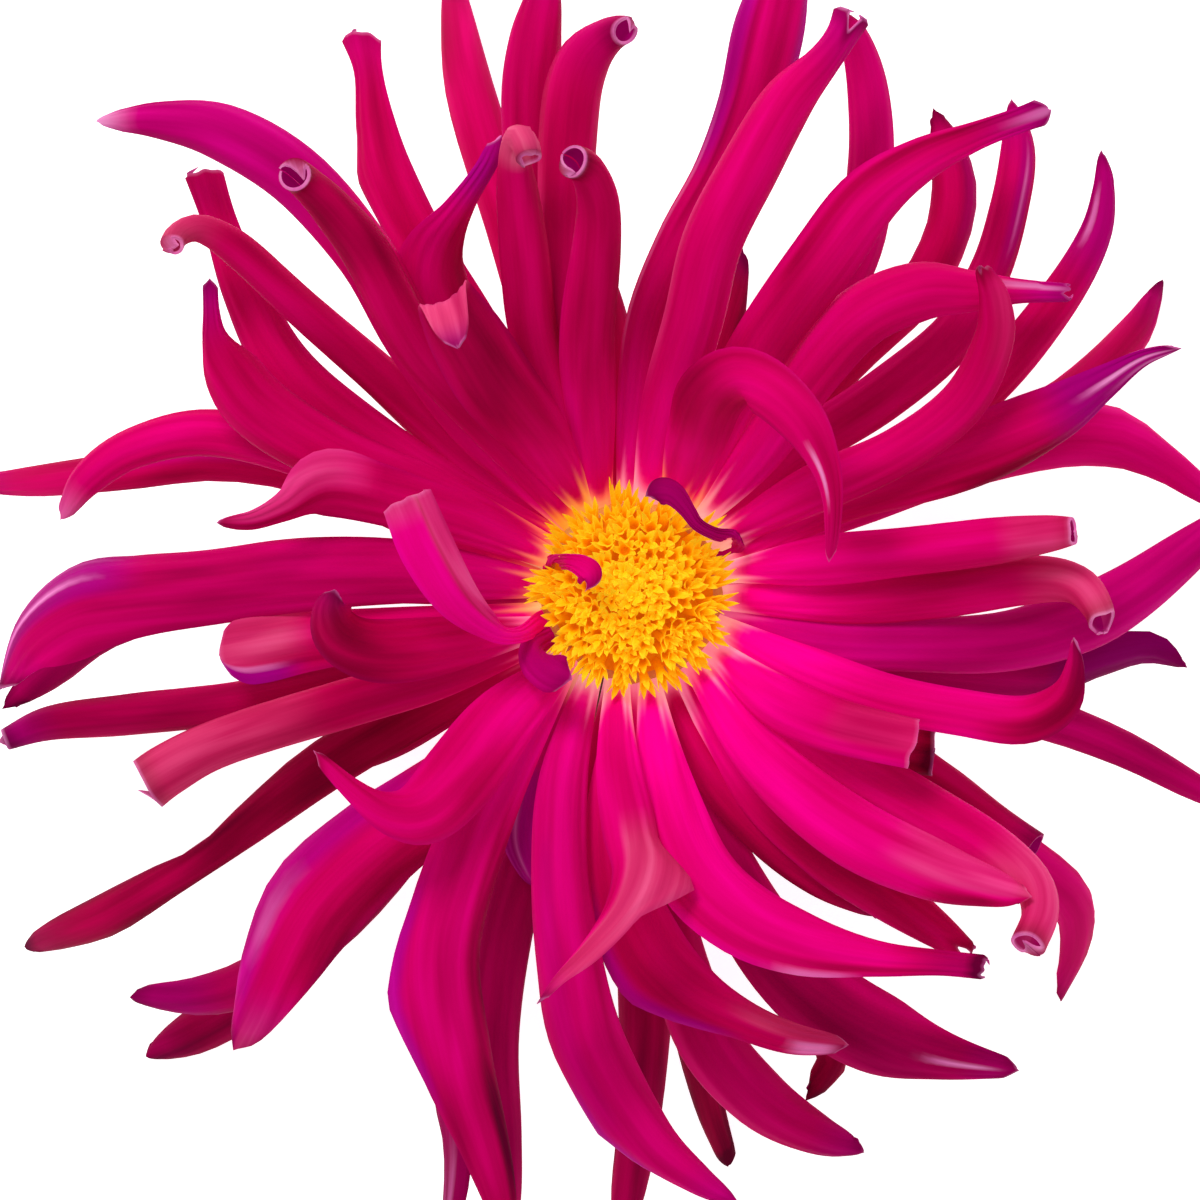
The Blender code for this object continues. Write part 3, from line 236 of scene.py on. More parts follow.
leftPetals = [
    ("l1", "strap", (0, 0), [(-10.5, 7.5, 40, 3.4), (-25, 14, 48, 7), (-40, 23.5, 51, 8.5),
     (-49.5, 32.5, 51, 8), (-55.5, 43.5, 49, 6.5), (-59, 53, 46, 5), (-61.6, 61, 43, 5.6)]),
    ("l2", "tube", (0, 0), [(-10.5, 9, 39.5, 3.4), (-24, 20, 45.5, 6.5), (-36, 31, 53.5, 6),
     (-47, 40.5, 60, 5.5), (-55.5, 48.2, 64, 5.2), (-60.5, 51.4, 65, 4.2),
     (-63.2, 51, 66.5, 3.6), (-64.2, 49.4, 68.5, 3.6)]),
    ("l4", "point", (0, 0), [(-11, 6, 41, 3.4), (-26, 12.5, 51, 7.5), (-42, 19.5, 56, 8.6),
     (-52.5, 26, 57, 9.5), (-57, 31.4, 57, 8.4), (-59.4, 36, 57, 4), (-60, 40, 57.3, 2.4),
     (-60.2, 44.8, 58, 2.2)]),
    ("l5", "point", (0, 0), [(-11.5, 4.5, 39, 3.4), (-30, 13, 45, 6.5), (-47.5, 19.8, 47, 7),
     (-61, 22.8, 46, 6.8), (-71.6, 20.8, 43, 6), (-78.4, 16.2, 41, 5), (-81.8, 10.3, 40, 1.8)]),
    ("l6", "point", (0, 0), [(-11.5, 3.5, 36, 3.4), (-27, 9, 38, 6), (-44, 16.2, 36.5, 6),
     (-60, 19, 32, 5.8), (-75, 17.4, 25, 5.6), (-87, 16, 14, 4.5), (-97, 15.6, 0.46, 1.8)]),
    ("l7", "strap", (-5, -30), [(-12, 5, 43, 3.4), (-24, 10, 53, 7), (-36, 13.6, 59, 9),
     (-43.5, 14.6, 62, 10), (-49, 11.6, 64, 5.6), (-54, 9.8, 65.5, 3.8), (-59.2, 9.8, 66.5, 1.8)]),
    ("l8", "strap", (0, 0), [(-12.5, -4.2, 43, 3.4), (-15.8, -6, 54, 2.4), (-19.6, -5.4, 62, 3.8),
     (-24.6, -1.2, 68, 6.6), (-29, 6, 72, 8), (-32.2, 13.4, 74, 7.4)]),
    ("l10", "strap", (5, 45), [(-12.5, 1, 42.5, 3.8), (-28, 2.8, 52, 8.5), (-45, 2.6, 56, 10.5),
     (-61.5, 1.1, 55, 11), (-71.5, 0.2, 53, 13), (-80.3, -1.4, 50, 16), (-87, -6.2, 47, 13),
     (-90.6, -14, 45, 4)]),
    ("l11", "point", (0, 0), [(-12.5, -1, 36, 3.2), (-45, 1.2, 36, 6), (-73, -4, 27, 6),
     (-84.6, -11.6, 20, 5), (-90.5, -16.8, 18, 1.8)]),
    ("l12", "strap", (0, 0), [(-12.5, -3, 41.5, 3.4), (-26, -5, 49, 6.3), (-38, -6, 52, 7.6),
     (-46, -6.8, 54, 8.8), (-53, -8, 55, 10), (-59, -9, 54, 9.6)]),
    ("l13", "strap", (0, 0), [(-13, -5, 43, 3.4), (-25, -7, 54, 8), (-35, -8, 61, 9.5),
     (-41, -6.5, 67, 8), (-43, -3, 72, 5), (-42.3, 0.3, 75.5, 2)]),
    ("l14", "tube", (0, 0), [(-12.5, -5, 39, 3.4), (-27, -9.5, 45, 6.5), (-42, -13, 47, 7),
     (-57, -16, 45, 6.2), (-73, -17.6, 41, 6), (-84, -18.8, 38, 5), (-91, -21.5, 35, 3)]),
    ("l15", "tube", (0, 0), [(-12.5, -6.5, 41, 3.4), (-26, -11.5, 50, 6.5), (-39, -15.2, 54, 7),
     (-51, -18.8, 54, 7), (-61, -22.3, 52, 7), (-67.5, -25.7, 50, 7.6), (-71, -28.2, 49, 7.8)]),
    ("l16", "point", (0, 0), [(-11, -6.5, 36, 3.4), (-28, -15.5, 39, 7), (-44, -25, 36, 7.5),
     (-54, -32.4, 31, 6.2), (-61.4, -38.4, 27, 4.4), (-67, -41.6, 24.5, 5.2),
     (-76.3, -47, 17, 6.3), (-83, -49.6, 9, 5),
     (-87.5, -51.2, 0.51, 2.5)]),
    ("l17", "strap", (0, 0), [(-9, -9.5, 43.5, 3.8), (-17, -17, 54, 9.5), (-23.5, -25, 62, 11),
     (-29, -30.5, 67, 9.5), (-34, -31, 70, 7), (-39, -28, 72.5, 4.5), (-45.3, -22.5, 74.5, 1.6)]),
    ("l18", "strap", (0, 0), [(-9.9, -9.9, 37, 3.8), (-20, -22, 45, 8.5), (-29.8, -30.4, 51, 12),
     (-38.6, -37, 51, 14), (-46.2, -44.7, 49, 15), (-51, -53.4, 46, 12), (-54.2, -60.3, 44, 7.5),
     (-57, -65.6, 42, 2.8)]),
    ("l19", "point", (0, 0), [(-10, -9, 35, 3.4), (-28, -30, 36, 7), (-42, -46.5, 31, 7.5),
     (-53.6, -55.6, 24, 7), (-62.5, -58.6, 19, 6), (-72.2, -58.2, 14, 2.8)]),
    ("l20", "point", (0, 0), [(-8.6, -10, 34.2, 3.4), (-24, -27, 30.5, 6.5), (-40, -44.5, 22, 7),
     (-54, -58, 12, 6.8), (-63, -63.8, 6, 6.8), (-70, -67, 0.95, 3)]),
]
bottomPetals = [
    ("b1", "strap", (0, 0), [(-9.5, -10.5, 43, 3.8), (-17, -23, 52, 8.5), (-23.5, -38, 57, 10.5),
     (-27, -52, 57, 11.5), (-25, -66, 54, 11), (-21, -79, 50, 7.5), (-18.5, -88, 47, 4.5),
     (-17.5, -94, 45, 1.6)]),
    ("b2", "point", (0, 0), [(-8, -12, 38, 3.4), (-13.2, -30, 43, 7), (-18.4, -48, 43, 8.2),
     (-20.4, -64, 40, 8.2), (-19.6, -78, 35, 7.2), (-18.6, -88, 31, 5), (-18.4, -95, 28, 2)]),
    ("b3", "strap", (0, 60), [(-9, -11, 35.5, 3.4), (-18, -32, 38, 7), (-24, -52, 35, 7),
     (-26.5, -70, 30, 7), (-26, -80, 27, 6), (-26.5, -88, 24, 4.5), (-27.5, -94.5, 21, 2)]),
    ("b4", "strap", (0, 20), [(-8.3, -11.5, 40.5, 3.4), (-12, -21, 45.5, 7.5), (-14.5, -28, 47, 7.5),
     (-15.8, -35, 47.5, 6), (-14.5, -40, 47, 4), (-12.5, -43, 46, 1.6)]),
    ("b5", "strap", (0, 80), [(-2, -13.5, 44, 3.8), (-1.8, -24, 57, 6.5), (-0.2, -32.8, 62, 8),
     (0.3, -38.8, 66.5, 7), (-2, -44.7, 69, 6.4), (-6.6, -50.2, 70, 6.4), (-11, -54.7, 70, 4),
     (-13.6, -58.6, 69.5, 1.8)]),
    ("b6", "point", (0, 0), [(-6, -12.5, 42, 3.4), (-9.5, -26, 50, 7), (-10, -40, 54, 8.5),
     (-8.3, -53, 55, 9.5), (-5, -66, 53, 10.5), (2.5, -78, 50, 7.5), (9.5, -84, 48, 4.5),
     (15.3, -87.5, 47, 1.6)]),
    ("b7", "strap", (0, 0), [(2.5, -13.2, 43.3, 3.6), (4.4, -26, 54, 8), (8.5, -38, 62, 11.5),
     (15.5, -45.5, 64, 11.5), (24.5, -49.8, 63.5, 9.5), (35, -52, 61.5, 5.6),
     (44, -52.7, 60, 3.8), (51, -53.4, 59, 3.6)]),
    ("b8", "strap", (0, 0), [(-0.5, -13, 41, 3.4), (-2.2, -27, 47, 7.5), (-1.9, -40, 49.5, 10),
     (1.8, -50.3, 50, 11.6), (8, -57, 49.5, 9.4), (15.5, -61, 48.5, 6), (23, -63.8, 47.5, 4.6),
     (31, -64.8, 47, 2.4)]),
    ("b9", "point", (0, 0), [(1.5, -12.5, 38, 3.4), (3, -32, 42, 7), (6, -50, 40, 8),
     (10.8, -64.6, 36, 9.2), (18.6, -73.8, 31, 8.8), (26.8, -78.6, 27, 6.2),
     (33.4, -80.4, 24, 2.8)]),
    ("b10", "point", (0, 0), [(2, -12, 34.5, 3.2), (4, -35, 32.5, 5.5), (7.5, -58, 22, 5.5),
     (11, -74, 9, 4.5), (14, -82.8, 0.72, 2.8)]),
    ("b11", "point", (0, 0), [(0, -12, 35, 3.4), (1, -35, 36, 7), (2, -56, 31, 8),
     (1.5, -72, 24, 6.5), (-0.5, -87, 16, 5), (-1.5, -93, 13, 2)]),
    ("b12", "strap", (0, 0), [(4, -12.5, 38.5, 3.4), (10, -32, 40.5, 8), (18, -48.2, 42, 10.5),
     (27, -58, 41.5, 12), (36.3, -63.6, 41, 11.6), (45, -66.6, 39, 7), (55.5, -68.5, 37, 2.4)]),
    ("b13", "point", (0, 0), [(3.8, -12, 34.5, 3.2), (12, -35, 35, 6), (22, -55, 30, 6.5),
     (29, -66, 25, 5), (27.5, -70.5, 23, 4), (25, -73, 22, 2)]),
    ("b14", "point", (0, 0), [(5, -12.5, 39, 3.4), (11, -24.5, 43.5, 6.5), (18.5, -33.5, 44.5, 7),
     (27.5, -40.5, 44, 6.5), (37, -46, 43, 3)]),
]
rightPetals = [
    ("r1", "point", (0, 0), [(9, -10.5, 43.5, 3.8), (18, -23, 55.5, 8), (30.5, -33, 62.5, 10),
     (42.5, -39, 64, 9), (51, -41.8, 64, 6), (57, -43.4, 64, 2.5)]),
    ("r2", "point", (0, 0), [(7.3, -11.4, 40, 3.4), (17.3, -27, 46.5, 7.5), (27.6, -36.6, 49, 8.5),
     (36.5, -42.9, 49, 7.5), (43.2, -47.8, 49, 5.5), (48.5, -51.8, 49, 3)]),
    ("r3", "strap", (0, 0), [(12, -8.5, 43.5, 3.8), (19, -14.3, 55.5, 7.5), (27, -18, 61.5, 8.2),
     (34.5, -20, 63, 7.8), (40.6, -21.3, 64, 7.4)]),
    ("r3b", "strap", (0, 0), [(12, -8, 39.5, 3.8), (22, -15.5, 44.5, 6.5), (33, -20.5, 48.5, 7.5),
     (43.4, -22, 51, 8)]),
    ("r4", "strap", (0, 0), [(13.3, -5.2, 43, 3.4), (24, -10.6, 50.5, 6.5), (35.5, -14.8, 56, 6.8),
     (47, -17, 60, 6.8), (55.5, -18, 62, 7), (60.8, -15.5, 64.5, 6), (62.6, -11, 67, 4),
     (62.8, -6.5, 69, 1.6)]),
    ("r5", "tube", (0, 0), [(11.5, -9.5, 41.5, 3.4), (21, -17.5, 49, 7), (31.3, -24.6, 53, 7.5),
     (41.1, -30.2, 55, 7.5), (49.8, -35.2, 57, 7), (55.6, -40, 60, 6), (57, -44.4, 63, 5.4),
     (55.2, -49.2, 66, 5.2)]),
    ("r5b", "tube", (0, 0), [(12.5, -7, 37, 3.4), (28, -17, 42, 6.5), (43, -27, 43, 7),
     (52, -33.3, 43, 6), (57.6, -37, 44, 5.6)]),
    ("r6", "point", (0, 0), [(11, -7.6, 34.5, 3.4), (30, -22, 36, 6.5), (48, -33, 31, 7),
     (60, -40.5, 23, 6.5), (65, -46, 16, 6.3), (65, -52, 8.5, 5.5), (61.8, -59, 0.7, 1.8)]),
    ("r7", "point", (0, 0), [(13, -5.5, 34.5, 3.4), (30, -12, 37, 6.5), (47, -15.5, 36, 6.5),
     (60, -18.3, 33, 6), (71, -22.6, 30, 5.3), (81, -28, 25, 4), (90, -32.5, 20, 1.6)]),
    ("r8", "point", (0, 0), [(13.5, -4, 40, 3.8), (26, -6.8, 47, 7.8), (39, -7.4, 50, 7.8),
     (53, -6.8, 49, 8.6), (64.5, -3.7, 47, 9.4), (72.4, 0.4, 45, 8.4), (81, 7, 42, 6),
     (88.5, 13.5, 39.5, 2)]),
    ("r9", "strap", (8, 60), [(13.2, -3.6, 36, 3.4), (30, -9, 40.5, 6.5), (47, -12, 40, 7),
     (60, -12.6, 37, 7.4), (68, -10.4, 34, 7.4), (74.2, -9, 32, 6.4), (79.5, -10.9, 31, 1.8)]),
    ("r10", "tube", (0, 0), [(13.5, -0.8, 42, 3.8), (29, -1, 50.5, 7.2), (43, 0.2, 54, 7.6),
     (55, 1.8, 56, 7.2), (62, 1.3, 58, 5.8), (65.3, -2, 60, 4.5), (66.5, -5.8, 61, 3.4)]),
    ("r11", "tube", (0, 0), [(13.8, 2.8, 43.5, 3.4), (25, 4, 54.5, 7.2), (38.5, 5.6, 61, 7),
     (51, 7, 64, 6.8), (58.5, 8, 65, 5.5), (63, 8.6, 66, 3.8)]),
    ("r12", "point", (0, 0), [(13.5, 5.5, 37, 3.4), (30, 12, 42, 7), (46, 18.5, 42, 8),
     (60, 22.5, 39, 9.5), (69.5, 22.5, 36, 9), (76.5, 19, 33, 6), (82, 15, 31, 4),
     (88, 11, 29, 1.6)]),
    ("r13", "strap", (0, 40), [(13.8, 4.5, 42, 3.4), (28, 12.5, 51, 7), (41, 17, 55, 9),
     (53, 21.3, 56, 10.5), (61.5, 25, 55.5, 9), (67.5, 29.2, 55, 6), (73, 33, 54.5, 3.5),
     (78.5, 34.8, 54, 1.6)]),
    ("r14", "point", (0, 0), [(11.9, 6.6, 34.5, 3.4), (30, 14.5, 35, 6), (47, 21, 31, 6.5),
     (60, 26, 23, 6.5), (68.3, 32.1, 14.5, 6), (73.8, 38.2, 7, 5), (76.6, 45, 0.64, 1.8)]),
    ("r15", "strap", (0, 0), [(6, 13, 44, 4.4), (8.2, 20, 57, 8.5), (10.4, 26.5, 68, 10),
     (14.3, 30.2, 76, 8.8), (19, 29, 80.5, 8.2), (24.3, 24.1, 82.5, 7), (27.4, 18.3, 81.5, 4.6),
     (28.5, 13, 80, 3), (28.4, 7.5, 78, 2), (28, 4.2, 77, 1)]),
    ("r16", "point", (0, 0), [(12.5, 7.5, 43, 3.4), (24, 13.5, 54, 7), (37, 19.5, 60, 7),
     (46.5, 26.5, 63, 6.8), (51, 35, 65.5, 6), (51.3, 41, 67.5, 4.5), (49.5, 46.5, 69.5, 2)]),
    ("r17", "point", (0, 0), [(12.8, 7.4, 40.5, 3.4), (27, 14.5, 48.5, 6.5), (41, 21.5, 52, 6.5),
     (52.2, 31.2, 52, 6.6), (61.1, 42, 51, 6), (66.2, 51, 49, 4.8), (67.5, 58, 48, 3.2),
     (67.1, 63.2, 47, 1.6)]),
    ("r18", "point", (0, 0), [(10.5, 11, 42.5, 3.4), (17.5, 19.5, 50, 7), (24.7, 30.4, 59, 8.6),
     (32.2, 38.7, 64, 9), (41, 42.7, 64.5, 8.6), (49, 42.8, 63, 6), (55.5, 42.8, 61.5, 3.6),
     (63, 42.6, 60, 2.6)]),
    ("r19", "point", (0, 0), [(11.5, 9.5, 38.5, 3.4), (22, 19, 43.5, 6.5), (35, 27.5, 47, 7.5),
     (46, 36.5, 49, 7), (51.3, 46, 49, 6), (54, 55.5, 49, 5.6), (55.2, 63.5, 47.5, 5),
     (54.2, 70.5, 47, 1.6)]),
    ("r20", "point", (0, 0), [(10, 10, 36.5, 3.4), (20, 22, 41, 6), (32, 34.5, 42, 6.5),
     (41, 43, 41, 6.7), (45.4, 51, 39, 6.6), (46.6, 58, 37.5, 6.6), (45.4, 64, 36.5, 5),
     (43.2, 69.3, 36, 1.8)]),
    ("r21", "strap", (0, 0), [(8, 12, 41.5, 3.6), (12.8, 24.5, 52, 7.5), (19.5, 36.5, 62, 9),
     (27.5, 47.3, 66.5, 9.8), (34, 55.8, 68, 9.2), (41.3, 61.3, 67.5, 6.6), (49, 64.9, 66.5, 4.2),
     (55.5, 67.3, 66, 3.8), (59.7, 68.8, 66, 4.4)]),
    ("r22", "point", (0, 0), [(8.5, 11.5, 39.5, 3.4), (17, 25, 45.5, 6.5), (26.5, 38, 50, 7),
     (32.5, 50, 51, 7), (34.3, 62, 50, 6.6), (33.8, 72, 48, 6), (32, 79, 47, 4.5),
     (29.5, 83, 47, 2.5)]),
    ("r24", "tube", (0, 0), [(2.3, 13.8, 43.5, 4.4), (5, 25.5, 54.5, 8), (8.8, 38, 65, 8.7),
     (11.6, 49, 70, 8.7), (17, 60, 72, 8.6), (22.4, 69.6, 71.5, 7.6), (27.4, 75.4, 70.5, 5),
     (30, 79, 70.2, 4.6), (31.8, 82.6, 70, 5.8)]),
    ("r25", "point", (0, 0), [(-0.5, 13.5, 42, 3.4), (1, 27, 50, 6.5), (2.6, 38, 55, 7),
     (7.4, 49.5, 58.5, 7.6), (12.9, 59, 60, 8.4), (17.1, 69, 60, 9.4), (20.2, 80, 59, 10.4),
     (22, 88.5, 57.5, 7.5), (22.5, 95, 56.5, 2)]),
]
# three small petals that curl in over the disc
innerPetals = [
    ("c1", "strap", (0, 0), [(-11.6, 3.9, 43.3, 2.2), (-10.8, 4.2, 50, 2.2), (-9.4, 4.3, 56, 2.4),
     (-7.6, 3.8, 59, 3.4), (-6.1, 2.7, 60, 3.8), (-5.9, 1.3, 60, 2.6), (-6.7, 0, 59.5, 0.7)]),
    ("c2", "strap", (0, 0), [(14.2, 6.6, 43.3, 3), (14.6, 7.6, 50, 2.4), (12, 8.2, 55.5, 1.6),
     (9.4, 9.6, 58, 1.6), (7.8, 11.8, 59, 2.4), (5.8, 14, 59.5, 3.6), (3.6, 14.4, 59.2, 4),
     (1.8, 13.6, 58.5, 2.2)]),
    ("c3", "strap", (0, 0), [(-11.5, -6.2, 43.3, 3), (-13.6, -7.6, 49.5, 4.2),
     (-13.4, -9.6, 54, 5.6), (-11.4, -11.4, 56.4, 6), (-8.6, -12.6, 57, 4)]),
]
petalRows = topPetals + leftPetals + bottomPetals + rightPetals + innerPetals

petalShape = {
    "rootSink": 3.6,               # mm into the receptacle
    "rootCeiling": 41.6,
    "steps": (56, 26),             # along and across, on petals that show
    "hiddenSteps": (26, 14),
    "thickness": (0.5, 0.3),       # mm at the middle and at the margin
    # roll of each margin towards the back, in degrees, at the places named after it
    "rolls": {"tube": (52, 104, 178, 178), "point": (50, 88, 98, 108), "strap": (45, 64, 60, 50)},
    "rollPlaces": (0, 0.5, 0.84, 1),
    "rollSkew": 0.12,              # one margin rolls in under the other
    "marginCurl": {"tube": 0.0, "point": 0.4, "strap": 0.4},   # share of the roll gathered near the margin
    "furrows": (0.3, 0.66),        # places of the lengthwise furrows on each half
    "furrowDepth": 0.22,           # mm
    "clawReach": (13.0, 16.0),     # mm from the axis: full claw colour, end of it
    "wedges": ((0.45, 0.16, 5.0), (0.95, 0.3, 9.0)),    # pale wedges: place across, width, mm further
    "roundTip": {"tube": 0.5, "point": 4.0, "strap": 3.5},   # mm over which a tip rounds off
    "cutBack": {"tube": 2.2, "point": 0.0, "strap": 0.0},    # mm that a tube's top is shorter
    "paintedRimHighlight": {"tube": 0.5, "point": 0.15, "strap": 0.3},  # pale rim of the cut end: a painted highlight along the edge
    "paintedCentreLight": (0.34, 16.0, 42.0),    # painted light: brighter by this near the disc, where the steep claws lie in shade; full up to the first mm from the axis, gone at the second
    "patchEdge": (0.12, 0.3),      # softness of a mark, along and across
    "seed": 11,
}
